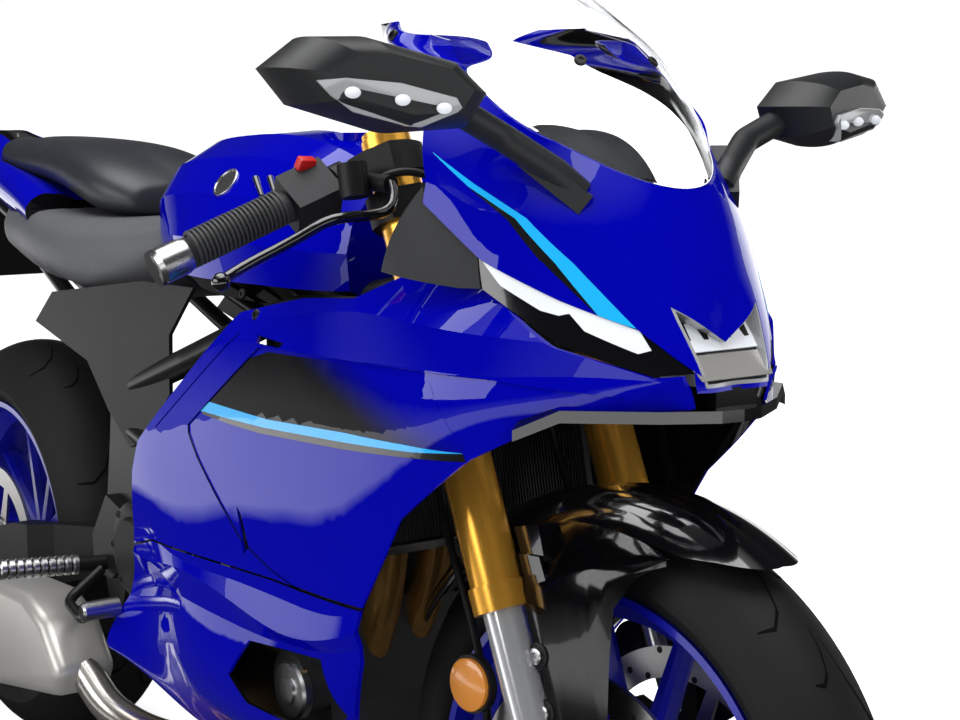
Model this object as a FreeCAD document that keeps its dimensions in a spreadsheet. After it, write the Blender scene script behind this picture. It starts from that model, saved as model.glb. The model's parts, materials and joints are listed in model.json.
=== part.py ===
"""Middleweight sport bike, parked on its side stand with the bars turned to the left stop side.

Bike frame: X forward, Y left, Z up, X = 0 at the front axle, Z = 0 on the ground when upright.
Fork frame: origin at the front axle, Z up along the fork legs, X forward, square to them.
Every sub-part is modelled upright and straight; its Placement then leans, steers and parks it.
"""
import FreeCAD, Part
import math
import os
import Sketcher

V = FreeCAD.Vector
doc = FreeCAD.newDocument("SportBike")

# Driving sizes, in millimetres and degrees
SIZES = {
    # stance
    "WheelBase": 1395, "FrontAxleHeight": 300, "RearAxleHeight": 315,
    "RakeAngle": 23.67, "ForkOffset": 38, "ParkLean": 10, "ParkSteer": 6, "FitGap": 0.3,
    # tyres and rims
    "FrontTyreRadius": 300, "FrontTyreWidth": 120, "FrontCrownRadius": 60,
    "RearTyreRadius": 315, "RearTyreWidth": 180, "RearCrownRadius": 95,
    "TyreWall": 8, "TreadDepth": 11, "BeadRadius": 216, "FlangeHeight": 8, "FlangeThickness": 5,
    "FrontRimHalf": 52, "RearRimHalf": 78, "RimWall": 5, "WellDepth": 20,
    "SpokeCount": 10, "SpokeRootWidth": 21, "SpokeTipWidth": 11, "SpokeDepth": 30,
    "HubRadius": 34, "AxleRadius": 10, "AxleGap": 0.05,
    # brakes and final drive
    "FrontDiscRadius": 149, "FrontDiscBand": 32, "DiscThickness": 5, "DiscPlaneHalf": 69,
    "RearDiscRadius": 122, "RearDiscBand": 28, "RearDiscPlane": 84,
    "ChainPitch": 15.875, "RearTeeth": 48, "FrontTeeth": 16, "ChainLine": 106,
    "ChainWidth": 20, "SprocketThickness": 7, "SprocketShaftX": -776, "SprocketShaftHeight": 388,
    # fork
    "LegHalfSpacing": 105, "InnerTubeRadius": 20.5, "OuterTubeRadius": 26, "OuterTubeStart": 214,
    "OuterTubeEnd": 706, "CollarRadius": 29, "CollarLength": 26, "LowerClampHeight": 488,
    "UpperClampHeight": 630, "ClampThickness": 32, "StemRadius": 15, "HeadBearingGap": 0.05,
    "HeadWall": 8, "FootRadius": 27, "FootTop": 78,
    # handlebars
    "BarRadius": 11, "GripRadius": 16.5, "BarHeight": 690, "BarSetback": 26, "BarDroop": 17.8,
    "BarSweep": 20.3, "BarLength": 256, "GripStart": 108, "GripLength": 122,
    # side stand and running gear
    "StandPivotX": -850, "StandPivotY": 150, "StandPivotHeight": 215, "StandBoltRadius": 7,
    "PivotX": -852, "PivotHeight": 392, "SwingPivotRadius": 13,
    # body
    "SkinThickness": 3, "RecessDepth": 1.8, "ScreenThickness": 3,
}


class Dim:
    """A length with its value and the sheet expression that drives it."""

    def __init__(self, value, text):
        self.value = value
        self.text = text

    def __float__(self):
        return float(self.value)

    def __add__(self, other):
        other = dim(other)
        return Dim(self.value + other.value, "(%s + %s)" % (self.text, other.text))

    def __sub__(self, other):
        other = dim(other)
        return Dim(self.value - other.value, "(%s - %s)" % (self.text, other.text))

    def __mul__(self, other):
        other = dim(other)
        return Dim(self.value * other.value, "(%s * %s)" % (self.text, other.text))

    def __truediv__(self, other):
        other = dim(other)
        return Dim(self.value / other.value, "(%s / %s)" % (self.text, other.text))

    def __neg__(self):
        return Dim(-self.value, "(-%s)" % self.text)

    def __radd__(self, other):
        return dim(other) + self

    def __rsub__(self, other):
        return dim(other) - self

    def __rmul__(self, other):
        return dim(other) * self


def dim(x):
    return x if isinstance(x, Dim) else Dim(float(x), "%.9g" % float(x))


def root(x):
    return Dim(math.sqrt(x.value), "sqrt(%s)" % x.text)


sheet = doc.addObject("Spreadsheet::Sheet", "Sizes")
for row, (alias, number) in enumerate(SIZES.items(), 1):
    sheet.set("A%d" % row, alias)
    sheet.set("B%d" % row, str(number))
    sheet.setAlias("B%d" % row, alias)
doc.recompute()


def size(alias):
    """The sheet's value under this alias, as a dimension that expressions can use."""
    return Dim(float(getattr(sheet, alias)), "Sizes.%s" % alias)


class Sheet:
    """Sheet values by name: S.WheelBase."""

    def __getattr__(self, alias):
        return size(alias)


S = Sheet()


def bind(obj, prop, value):
    """Drive a property from the sheet; a plain number is set as it is."""
    obj.setExpression(prop, dim(value).text)


# Sketches and features

PLANES = {"XY": ("XY_Plane", 1), "XZ": ("XZ_Plane", -1), "YZ": ("YZ_Plane", 1)}


def new_body(label):
    obj = doc.addObject("PartDesign::Body", "Body")
    obj.Label = label
    return obj


def new_sketch(owner, plane, offset=0):
    """An empty sketch on one of the body's own planes, offset along the plane's axis."""
    role, sign = PLANES[plane]
    sk = owner.newObject("Sketcher::SketchObject", "Profile")
    sk.AttachmentSupport = [(next(f for f in owner.Origin.OriginFeatures if f.Role == role), "")]
    sk.MapMode = "FlatFace"
    bind(sk, "AttachmentOffset.Base.z", offset * sign if isinstance(offset, Dim) else sign * offset)
    return sk


def pin_point(sk, geo, pos, x, y):
    """Place a sketch point from the origin with two driven distances."""
    for kind, value in (("DistanceX", dim(x)), ("DistanceY", dim(y))):
        index = sk.addConstraint(Sketcher.Constraint(kind, -1, 1, geo, pos, value.value))
        if "Sizes" in value.text:
            sk.setExpression("Constraints[%d]" % index, value.text)


def add_outline(sk, points):
    """Closed outline through corner points; a third item marks a point that an arc passes through."""
    corners = [i for i, p in enumerate(points) if len(p) == 2]
    first = None
    previous = None
    for n, i in enumerate(corners):
        j = corners[(n + 1) % len(corners)]
        a, b = points[i], points[j]
        start, end = V(float(a[0]), float(a[1]), 0), V(float(b[0]), float(b[1]), 0)
        via = points[(i + 1) % len(points)]
        if len(via) == 3:
            middle = V(float(via[0]), float(via[1]), 0)
            geo = sk.addGeometry(Part.Arc(start, middle, end), False)
            mark = sk.addGeometry(Part.Point(middle), True)
            counterclockwise = (middle - start).cross(end - middle).z > 0
            head, tail = (1, 2) if counterclockwise else (2, 1)
            pin_point(sk, mark, 1, via[0], via[1])
            sk.addConstraint(Sketcher.Constraint("PointOnObject", mark, 1, geo))
        else:
            geo = sk.addGeometry(Part.LineSegment(start, end), False)
            head, tail = 1, 2
        pin_point(sk, geo, head, a[0], a[1])
        if previous is None:
            first = (geo, head)
        else:
            sk.addConstraint(Sketcher.Constraint("Coincident", previous[0], previous[1], geo, head))
        previous = (geo, tail)
    sk.addConstraint(Sketcher.Constraint("Coincident", previous[0], previous[1], first[0], first[1]))


def add_circle(sk, x, y, radius):
    radius = dim(radius)
    geo = sk.addGeometry(Part.Circle(V(float(x), float(y), 0), V(0, 0, 1), radius.value), False)
    pin_point(sk, geo, 3, x, y)
    index = sk.addConstraint(Sketcher.Constraint("Radius", geo, radius.value))
    if "Sizes" in radius.text:
        sk.setExpression("Constraints[%d]" % index, radius.text)


def outline(owner, plane, points, offset=0):
    sk = new_sketch(owner, plane, offset)
    add_outline(sk, points)
    return sk


def circles(owner, plane, centres, offset=0):
    """Sketch of circles, each centre an (x, y, radius)."""
    sk = new_sketch(owner, plane, offset)
    for x, y, radius in centres:
        add_circle(sk, x, y, radius)
    return sk


def pad(owner, sk, length, both=True, reverse=False):
    feature = owner.newObject("PartDesign::Pad", "Pad")
    feature.Profile = sk
    bind(feature, "Length", length)
    feature.Midplane = both
    feature.Reversed = reverse
    doc.recompute()
    return feature


def pocket(owner, sk, depth=None, both=True, reverse=False):
    feature = owner.newObject("PartDesign::Pocket", "Pocket")
    feature.Profile = sk
    if depth is None:
        feature.Type = "ThroughAll"
    else:
        bind(feature, "Length", depth)
    feature.Midplane = both
    feature.Reversed = reverse
    before = owner.Shape.Volume
    doc.recompute()
    if feature.Shape.Volume > before - 1e-3 and before > 0:
        raise RuntimeError("pocket cuts nothing in " + owner.Label)
    return feature


def revolve(owner, sk, axis="V_Axis", angle=360, both=False):
    feature = owner.newObject("PartDesign::Revolution", "Revolution")
    feature.Profile = sk
    feature.ReferenceAxis = (sk, [axis])
    feature.Angle = angle
    feature.Midplane = both
    doc.recompute()
    return feature


def turn_pattern(owner, features, axis_sketch, axis, count):
    """Repeat features evenly round a sketch axis."""
    pattern = owner.newObject("PartDesign::PolarPattern", "Pattern")
    pattern.Originals = features
    pattern.Axis = (axis_sketch, [axis])
    pattern.Angle = 360
    bind(pattern, "Occurrences", count)
    owner.Tip = pattern
    doc.recompute()
    return pattern


def loft(owner, sections):
    feature = owner.newObject("PartDesign::AdditiveLoft", "Loft")
    feature.Profile = sections[0]
    feature.Sections = sections[1:]
    doc.recompute()
    return feature


def edges_where(shape, test):
    return ["Edge%d" % (i + 1) for i, edge in enumerate(shape.Edges) if test(edge)]


def fillet(owner, radius, test):
    """Round the tip's edges that pass the test."""
    base = owner.Tip
    names = edges_where(base.Shape, test)
    feature = owner.newObject("PartDesign::Fillet", "Fillet")
    feature.Base = (base, names)
    bind(feature, "Radius", radius)
    doc.recompute()
    return feature


# Primitives and booleans

def turned(base, direction):
    """Placement at base with local Z along direction."""
    return FreeCAD.Placement(base, FreeCAD.Rotation(V(0, 0, 1), direction))


def cylinder(radius, length, base, direction):
    obj = doc.addObject("Part::Cylinder", "Cylinder")
    bind(obj, "Radius", radius)
    bind(obj, "Height", length)
    obj.Placement = turned(base, direction)
    return obj


def rod(radius, start, end):
    """Cylinder between two points."""
    return cylinder(radius, end.distanceToPoint(start), start, end - start)


def block(length, width, height, corner, rotation=FreeCAD.Rotation()):
    obj = doc.addObject("Part::Box", "Box")
    bind(obj, "Length", length)
    bind(obj, "Width", width)
    bind(obj, "Height", height)
    obj.Placement = FreeCAD.Placement(corner, rotation)
    return obj


def fuse(objects):
    obj = doc.addObject("Part::MultiFuse", "Fuse")
    obj.Shapes = objects
    obj.Refine = True
    return obj


def cut(base, tools):
    obj = doc.addObject("Part::Cut", "Cut")
    obj.Base = base
    obj.Tool = tools[0] if len(tools) == 1 else fuse(tools)
    return obj


def mirrored(source):
    obj = doc.addObject("Part::Mirroring", "Mirror")
    obj.Source = source
    obj.Normal = V(0, 1, 0)
    obj.Base = V(0, 0, 0)
    return obj


def group(objects):
    obj = doc.addObject("Part::Compound", "Group")
    obj.Links = objects
    return obj


def pair(source):
    """The part and its mirror image across the bike's middle plane."""
    return group([source, mirrored(source)])


def shaped(shape):
    obj = doc.addObject("Part::Feature", "Shape")
    obj.Shape = shape
    return obj


def prism(points, y0, y1):
    """Side-view outline (x, z) extruded from y0 to y1; a third item marks an arc's middle point."""
    return Part.Face(side_wire(points, y0)).extrude(V(0, y1 - y0, 0))


def side_wire(points, y=0.0):
    corners = [i for i, p in enumerate(points) if len(p) == 2]
    edges = []
    for n, i in enumerate(corners):
        j = corners[(n + 1) % len(corners)]
        start = V(float(points[i][0]), y, float(points[i][1]))
        end = V(float(points[j][0]), y, float(points[j][1]))
        via = points[(i + 1) % len(points)]
        if len(via) == 3:
            edges.append(Part.Arc(start, V(float(via[0]), y, float(via[1])), end).toShape())
        else:
            edges.append(Part.LineSegment(start, end).toShape())
    return Part.Wire(edges)


def bent_path(points, radius):
    """Straight runs joined by tangent arcs."""
    edges = []
    last = points[0]
    for before, corner, after in zip(points, points[1:], points[2:]):
        back, ahead = (before - corner).normalize(), (after - corner).normalize()
        half = back.getAngle(ahead) / 2
        reach = radius / math.tan(half)
        start, end = corner + back * reach, corner + ahead * reach
        inward = (back + ahead).normalize()
        middle = corner + inward * (radius / math.sin(half) - radius)
        edges.append(Part.LineSegment(last, start).toShape())
        edges.append(Part.Arc(start, middle, end).toShape())
        last = end
    edges.append(Part.LineSegment(last, points[-1]).toShape())
    return Part.Wire(edges)


def tube(points, radius, bend, bore=0.0):
    """Round tube along a bent path."""
    path = bent_path(points, bend)
    start = points[0]
    direction = (points[1] - start).normalize()
    outer = Part.Wire([Part.Circle(start, direction, radius).toShape()])
    solid = path.makePipeShell([outer], True, False)
    if bore:
        inner = Part.Wire([Part.Circle(start, direction, bore).toShape()])
        solid = solid.cut(path.makePipeShell([inner], True, False))
    return solid


def spline(points, **options):
    curve = Part.BSplineCurve()
    curve.interpolate(Points=points, **options)
    return curve.toShape()


# Frames of reference

RAKE = math.radians(float(S.RakeAngle))
AXLE = V(0, 0, float(S.FrontAxleHeight))
REAR_AXLE = V(-float(S.WheelBase), 0, float(S.RearAxleHeight))
FORK = FreeCAD.Placement(AXLE, FreeCAD.Rotation(V(0, 1, 0), -float(S.RakeAngle)))
STEER_DIRECTION = V(-math.sin(RAKE), 0, math.cos(RAKE))
STEER_POINT = FORK.multVec(V(-float(S.ForkOffset), 0, 0))


def steering(angle):
    """Turn about the steering axis, positive to the left."""
    turn = FreeCAD.Rotation(STEER_DIRECTION, angle)
    return FreeCAD.Placement(STEER_POINT - turn.multVec(STEER_POINT), turn)


def tyre_bottom(frame, axle, radius, crown):
    """Height of a tyre's lowest point in a frame, from its round crown."""
    centre = frame.multVec(axle)
    axis = frame.Rotation.multVec(V(0, 1, 0))
    return centre.z - (radius - crown) * math.sqrt(1 - axis.z * axis.z) - crown


def parked_frame():
    """Lean onto the stand, then pitch and lift until both tyres touch the ground."""
    lean = FreeCAD.Rotation(V(1, 0, 0), -float(S.ParkLean))
    steer = steering(float(S.ParkSteer))
    pitch, lift = 0.0, 0.0
    for _ in range(12):
        park = FreeCAD.Placement(V(0, 0, lift), FreeCAD.Rotation(V(0, 1, 0), pitch).multiply(lean))
        front = tyre_bottom(park.multiply(steer), AXLE, float(S.FrontTyreRadius),
                            float(S.FrontCrownRadius))
        rear = tyre_bottom(park, REAR_AXLE, float(S.RearTyreRadius), float(S.RearCrownRadius))
        pitch += math.degrees((front - rear) / float(S.WheelBase))
        lift -= rear
    return park


PARK = parked_frame()
STEERED = PARK.multiply(steering(float(S.ParkSteer)))
FRAMES = {
    "chassis": PARK,
    "fork": STEERED.multiply(FORK),
    "steered": STEERED,
    "front_wheel": STEERED.multiply(FreeCAD.Placement(AXLE, FreeCAD.Rotation())),
    "rear_wheel": PARK.multiply(FreeCAD.Placement(REAR_AXLE, FreeCAD.Rotation())),
}
NODES = {}


def node(label, obj, frame="chassis"):
    """Keep an object as a named sub-part of the bike."""
    obj.Label = label
    NODES[label] = (obj, frame)
    return obj


def at_rake(u, w, y=0.0):
    """Bike-frame point from fork-frame coordinates."""
    return FORK.multVec(V(u, y, w))


# Wheels: each one about its own axle, along Y

def tyre(label, frame, radius, width, crown, rim_half):
    """Hollow carcass, open at the beads."""
    owner = new_body(label)
    half = width / 2
    shoulder = radius - crown + root(crown * crown - half * half + 0.001)
    bead_side = rim_half - S.FlangeThickness
    bead_inner = bead_side - S.TyreWall * 1.5
    clinch = S.BeadRadius + S.FlangeHeight + 1
    inner = half - S.TyreWall
    sk = outline(owner, "XY", [
        (S.BeadRadius, bead_side), (clinch, bead_side),
        ((shoulder + clinch) / 2, (half * 3 + bead_side) / 4, "via"),
        (shoulder, half), (radius, 0, "via"), (shoulder, -half),
        ((shoulder + clinch) / 2, -(half * 3 + bead_side) / 4, "via"),
        (clinch, -bead_side), (S.BeadRadius, -bead_side), (S.BeadRadius, -bead_inner),
        ((shoulder + S.BeadRadius) / 2, -(inner * 3 + bead_inner) / 4, "via"),
        (shoulder, -inner), (radius - S.TreadDepth, 0, "via"), (shoulder, inner),
        ((shoulder + S.BeadRadius) / 2, (inner * 3 + bead_inner) / 4, "via"),
        (S.BeadRadius, bead_inner),
    ])
    revolve(owner, sk)
    node(label, owner, frame)


def rim(label, frame, rim_half, hub_left, hub_right, seat_radius, bore):
    """Cast wheel: barrel, spokes, and a hub whose ends carry the disc and sprocket."""
    owner = new_body(label)
    seat = S.BeadRadius
    flange = seat + S.FlangeHeight
    wall = S.RimWall
    well = seat - S.WellDepth
    side = rim_half - S.FlangeThickness
    barrel = outline(owner, "XY", [
        (flange, rim_half), (flange, side), (seat, side), (seat - 2, side * 0.62),
        (well, side * 0.42), (well, -side * 0.42), (seat - 2, -side * 0.62), (seat, -side),
        (flange, -side), (flange, -rim_half), (seat, -rim_half),
        (seat - 2 - wall, -side * 0.66), (well - wall, -side * 0.38),
        (well - wall, side * 0.38), (seat - 2 - wall, side * 0.66), (seat, rim_half),
    ])
    first = revolve(owner, barrel)
    hub = outline(owner, "XY", [
        (bore, hub_left), (seat_radius, hub_left), (seat_radius, hub_left - 12),
        (S.HubRadius - 6, hub_left - 30), (S.HubRadius - 6, 24 - hub_right),
        (S.HubRadius, 12 - hub_right), (S.HubRadius, -hub_right), (bore, -hub_right),
    ])
    revolve(owner, hub)
    inner_half, outer_half = S.SpokeRootWidth / 2, S.SpokeTipWidth / 2
    depth = S.SpokeDepth / 2
    start, end = S.HubRadius - 10, well - wall / 2
    sections = []
    for place, across, deep in ((start, inner_half, depth * 1.25), (end, outer_half, depth)):
        sections.append(outline(owner, "YZ", [
            (-deep, -across * 0.6), (-deep * 0.5, -across), (deep * 0.5, -across), (deep, -across * 0.6),
            (deep, across * 0.6), (deep * 0.5, across), (-deep * 0.5, across), (-deep, across * 0.6),
        ], offset=place))
    spoke = loft(owner, sections)
    turn_pattern(owner, [spoke], barrel, "V_Axis", S.SpokeCount)
    node(label, owner, frame)
    return first


def disc(radius, band, plane, arms, hub_radius):
    """Brake disc on an armed carrier, on one side of the hub."""
    owner = new_body("disc")
    half = S.DiscThickness / 2
    ring = outline(owner, "XY", [
        (radius - band, plane - half), (radius, plane - half), (radius, plane + half),
        (radius - band, plane + half),
    ])
    revolve(owner, ring)
    carrier = outline(owner, "XY", [
        (hub_radius - 10, plane - half - 3), (hub_radius + 8, plane - half - 3),
        (hub_radius + 8, plane + half), (hub_radius - 10, plane + half),
    ])
    revolve(owner, carrier)
    arm = outline(owner, "XZ", [
        (hub_radius, -11), (radius - band + 4, -7), (radius - band + 4, 7), (hub_radius, 11),
    ], offset=plane)
    arm_pad = pad(owner, arm, S.DiscThickness - 0.6)
    turn_pattern(owner, [arm_pad], ring, "V_Axis", arms)
    return owner


tyre("front_tyre", "front_wheel", S.FrontTyreRadius, S.FrontTyreWidth, S.FrontCrownRadius,
     S.FrontRimHalf)
tyre("rear_tyre", "rear_wheel", S.RearTyreRadius, S.RearTyreWidth, S.RearCrownRadius,
     S.RearRimHalf)
disc_seat = S.DiscThickness / 2 + 3
rim("front_rim", "front_wheel", S.FrontRimHalf, S.DiscPlaneHalf - disc_seat, S.DiscPlaneHalf - disc_seat,
    S.HubRadius, S.AxleRadius + S.AxleGap)
rim("rear_rim", "rear_wheel", S.RearRimHalf, S.ChainLine - S.SprocketThickness / 2,
    S.RearDiscPlane - disc_seat, S.HubRadius + 14, S.AxleRadius + S.AxleGap)
node("front_discs", pair(disc(S.FrontDiscRadius, S.FrontDiscBand, S.DiscPlaneHalf, 5, S.HubRadius)),
     "front_wheel")
node("rear_disc", disc(S.RearDiscRadius, S.RearDiscBand, -S.RearDiscPlane, 5, S.HubRadius),
     "rear_wheel")

# Sprocket and chain

def pitch_radius(teeth):
    return float(S.ChainPitch) / (2 * math.sin(math.pi / float(teeth)))


def sprocket(teeth, hub, bore, y):
    """Toothed plate with plain tapered teeth, seated below the chain's rollers."""
    radius = pitch_radius(teeth)
    count = int(float(teeth))
    rim_edge, tip = radius - 6.5, radius - 0.8
    points = []
    for k in range(count):
        for turn, reach in ((-0.30, rim_edge), (-0.12, tip), (0.12, tip), (0.30, rim_edge)):
            angle = 2 * math.pi * (k + 0.5 + turn) / count
            points.append(V(reach * math.cos(angle), y, reach * math.sin(angle)))
    plate = Part.Face(Part.makePolygon(points + points[:1])).extrude(V(0, float(S.SprocketThickness), 0))
    plate.translate(V(0, -float(S.SprocketThickness) / 2, 0))
    plate = plate.cut(Part.makeCylinder(bore, 60, V(0, y - 30, 0), V(0, 1, 0)))
    if hub > bore + 30:
        window = Part.makeCylinder(15, 60, V(hub, y - 30, 0), V(0, 1, 0))
        for k in range(6):
            piece = window.copy()
            piece.rotate(V(0, 0, 0), V(0, 1, 0), 60 * k + 30)
            plate = plate.cut(piece)
    return plate


chain_y = float(S.ChainLine)
node("rear_sprocket", shaped(sprocket(S.RearTeeth, 78, float(S.HubRadius) + 0.5, chain_y)),
     "rear_wheel")
shaft = V(float(S.SprocketShaftX), 0, float(S.SprocketShaftHeight))


def chain_loop(extra):
    """Belt outline round both sprockets, this far outside the pitch line."""
    big, small = pitch_radius(S.RearTeeth) + extra, pitch_radius(S.FrontTeeth) + extra
    rear = V(REAR_AXLE.x, 0, REAR_AXLE.z)
    reach = rear.distanceToPoint(shaft)
    lean = math.atan2(shaft.z - rear.z, shaft.x - rear.x)
    wrap = math.acos((big - small) / reach)
    def rim_point(centre, radius, angle):
        return V(centre.x + radius * math.cos(angle), 0, centre.z + radius * math.sin(angle))
    top_rear, top_front = (rim_point(rear, big, lean + wrap), rim_point(shaft, small, lean + wrap))
    low_rear, low_front = (rim_point(rear, big, lean - wrap), rim_point(shaft, small, lean - wrap))
    return Part.Wire([
        Part.Arc(low_rear, rim_point(rear, big, lean + math.pi), top_rear).toShape(),
        Part.LineSegment(top_rear, top_front).toShape(),
        Part.Arc(top_front, rim_point(shaft, small, lean), low_front).toShape(),
        Part.LineSegment(low_front, low_rear).toShape()])


def drive_chain():
    width = V(0, float(S.ChainWidth), 0)
    solid = Part.Face(chain_loop(6.0)).extrude(width).cut(Part.Face(chain_loop(-0.4)).extrude(width))
    solid.translate(V(0, chain_y - float(S.ChainWidth) / 2, 0))
    return solid


node("chain", shaped(drive_chain()))

# Front axle and fork legs: one leg about its own axis, then mirrored

def leg(owner):
    """Stand a part on the left fork leg."""
    owner.setExpression("Placement.Base.y", S.LegHalfSpacing.text)
    return owner


def leg_tube(label, radius, bore, start, end, steps=()):
    owner = new_body(label)
    points = [(bore, start), (radius, start)]
    for place, step in steps:
        points += [(points[-1][0], place), (step, place)]
    points += [(points[-1][0], end), (bore, end)]
    revolve(owner, outline(owner, "XZ", points))
    return leg(owner)


axle_half = S.LegHalfSpacing + S.FootRadius + 2
front_axle = cylinder(S.AxleRadius, axle_half * 2, V(0, -float(axle_half), 0), V(0, 1, 0))
node("front_axle", front_axle, "fork")

foot = new_body("foot")
revolve(foot, outline(foot, "XZ", [
    (0, -34), (S.FootRadius - 6, -34), (S.FootRadius, -24), (S.FootRadius, S.FootTop - 8),
    (S.FootRadius - 4, S.FootTop), (0, S.FootTop)]))
pad(foot, outline(foot, "XZ", [
    (12, 36), (34, 92), (40, 178), (22, 182), (22, 90), (12, 70)], offset=-16), 10)
pad(foot, outline(foot, "XZ", [
    (-12, 4), (-92, 22), (-92, 34), (-60, 40), (-60, 84), (-92, 92), (-92, 104), (-50, 104),
    (-12, 70)], offset=-8), 14)
pocket(foot, circles(foot, "XZ", [(0, 0, S.AxleRadius + S.AxleGap)]))
pocket(foot, circles(foot, "XY", [(0, 0, S.InnerTubeRadius + S.FitGap)], offset=30), 200, both=False,
       reverse=True)
node("fork_feet", pair(leg(foot)), "fork")
node("fork_inner_tubes", pair(leg_tube("inner_tube", S.InnerTubeRadius, 16, 30.5, 470)), "fork")
outer_tube = leg_tube(
    "outer_tube", S.CollarRadius, S.InnerTubeRadius + S.FitGap, S.OuterTubeStart, S.OuterTubeEnd,
    [(S.OuterTubeStart + S.CollarLength, S.OuterTubeRadius)])
fork_cap = leg_tube("fork_cap", S.OuterTubeRadius - 2, 3, S.OuterTubeEnd - 8, S.OuterTubeEnd + 7)
node("fork_outer_tubes", pair(fuse([outer_tube, fork_cap])), "fork")

# Triple clamps, stem and steering stops

def clamp_plate(height, web, reach):
    owner = new_body("clamp")
    legs = S.LegHalfSpacing
    span = S.OuterTubeRadius + 9
    back = -(S.ForkOffset + reach)
    shape = outline(owner, "XY", [
        (back, -24), (-span, -legs - 8), (-18, -legs - span + 4), (0, -legs - span, "via"),
        (18, -legs - span + 4), (span, -legs), (span - 6, -legs + 22), (web, -50), (web, 50),
        (span - 6, legs - 22), (span, legs), (18, legs + span - 4), (0, legs + span, "via"),
        (-18, legs + span - 4), (-span, legs + 8), (back, 24)], offset=height)
    pad(owner, shape, S.ClampThickness)
    pocket(owner, circles(owner, "XY", [
        (0, legs, S.OuterTubeRadius + S.FitGap), (0, -legs, S.OuterTubeRadius + S.FitGap)]))
    return owner


stem = cylinder(S.StemRadius, S.UpperClampHeight - S.LowerClampHeight + S.ClampThickness + 12,
                V(-float(S.ForkOffset), 0, float(S.LowerClampHeight - S.ClampThickness / 2)),
                V(0, 0, 1))
clamps = node("triple_clamps", fuse([clamp_plate(S.LowerClampHeight, 6, 20),
                            clamp_plate(S.UpperClampHeight, 0, 26), stem]), "fork")

# Clip-on handlebars: built along local X from the clamp, mirrored for the right

droop, sweep = math.radians(float(S.BarDroop)), math.radians(float(S.BarSweep))
bar_start = V(-float(S.BarSetback), float(S.LegHalfSpacing), float(S.BarHeight))
bar_run = V(-math.sin(sweep) * math.cos(droop), math.cos(sweep) * math.cos(droop),
            -math.sin(droop)).normalize()


def on_bar(distance, forward=0.0, up=0.0):
    """Point beside the left bar, this far from its clamp."""
    side = bar_run.cross(V(0, 0, 1)).normalize()
    return bar_start + bar_run * distance + side * forward + side.cross(bar_run) * up


def bar_piece(radius, start, length, bore=None):
    piece = cylinder(radius, length, on_bar(float(start)), bar_run)
    if bore is not None:
        piece = cut(piece, [cylinder(bore, float(length) + 2, on_bar(float(start) - 1), bar_run)])
    return piece


clip = new_body("clip_on")
clip_ring = outline(clip, "XY", [
    (-S.OuterTubeRadius - 8, -22), (-8, -S.OuterTubeRadius - 8), (S.OuterTubeRadius + 2, -22),
    (S.OuterTubeRadius + 8, 0, "via"), (S.OuterTubeRadius + 2, 22), (0, S.OuterTubeRadius + 8),
    (-24, S.OuterTubeRadius + 10), (-S.BarSetback - 18, 14), (-S.BarSetback - 18, -10)])
pad(clip, clip_ring, 30)
pocket(clip, circles(clip, "XY", [(0, 0, S.OuterTubeRadius + S.FitGap)]))
clip.Placement = FreeCAD.Placement(V(0, float(S.LegHalfSpacing), float(S.BarHeight) - 12),
                                   FreeCAD.Rotation())
bar = cut(cylinder(S.BarRadius, S.BarLength, on_bar(0), bar_run),
          [cylinder(S.OuterTubeRadius + S.FitGap, 80,
                    V(0, float(S.LegHalfSpacing), float(S.BarHeight) - 40), V(0, 0, 1))])
grip_end = S.GripStart + S.GripLength
bar_weight = cylinder(S.GripRadius + 2, 30, on_bar(float(grip_end) + 1), bar_run)
perch_ring = cylinder(S.BarRadius + 8, 15, on_bar(36), bar_run)
perch_arm = rod(9, on_bar(43.5, 8), V(42, 150, 640))
fluid_cup = cylinder(15, 34, V(6, 168, 640), V(0.2, 0, 1))
cup_arm = rod(7, on_bar(48, 4), V(8, 168, 646))
left_bar = fuse([clip, bar, bar_weight, perch_ring, perch_arm, fluid_cup, cup_arm])
bars = node("handlebars", pair(left_bar), "fork")
node("grips", pair(bar_piece(S.GripRadius, S.GripStart, S.GripLength, S.BarRadius)), "fork")
switch_body = block(46, 46, 52, V(-23, -23, 0))
switch_body.Placement = turned(on_bar(float(S.GripStart) - 52.2), bar_run).multiply(switch_body.Placement)
node("switch_boxes", pair(cut(switch_body, [left_bar])), "fork")
lever_path = [V(42, 150, 640), V(46, 175, 608), V(38, 205, 607), V(30, 232, 604), V(17, 250, 597),
              V(-18, 310, 574), V(-20, 330, 564)]


def swept(points, radius):
    """Round bar along one smooth curve."""
    ring = Part.Wire([Part.Circle(points[0], points[1] - points[0], radius).toShape()])
    return Part.Wire([spline(points)]).makePipeShell([ring], True, False)


lever_shape = swept(lever_path, 6.0).fuse(Part.makeSphere(9, lever_path[-1]))
lever_cut = cut(shaped(lever_shape), [rod(9, on_bar(43.5, 8), V(42, 150, 640))])
levers = node("levers", pair(lever_cut), "fork")

# Front fender, calipers, reflectors

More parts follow.
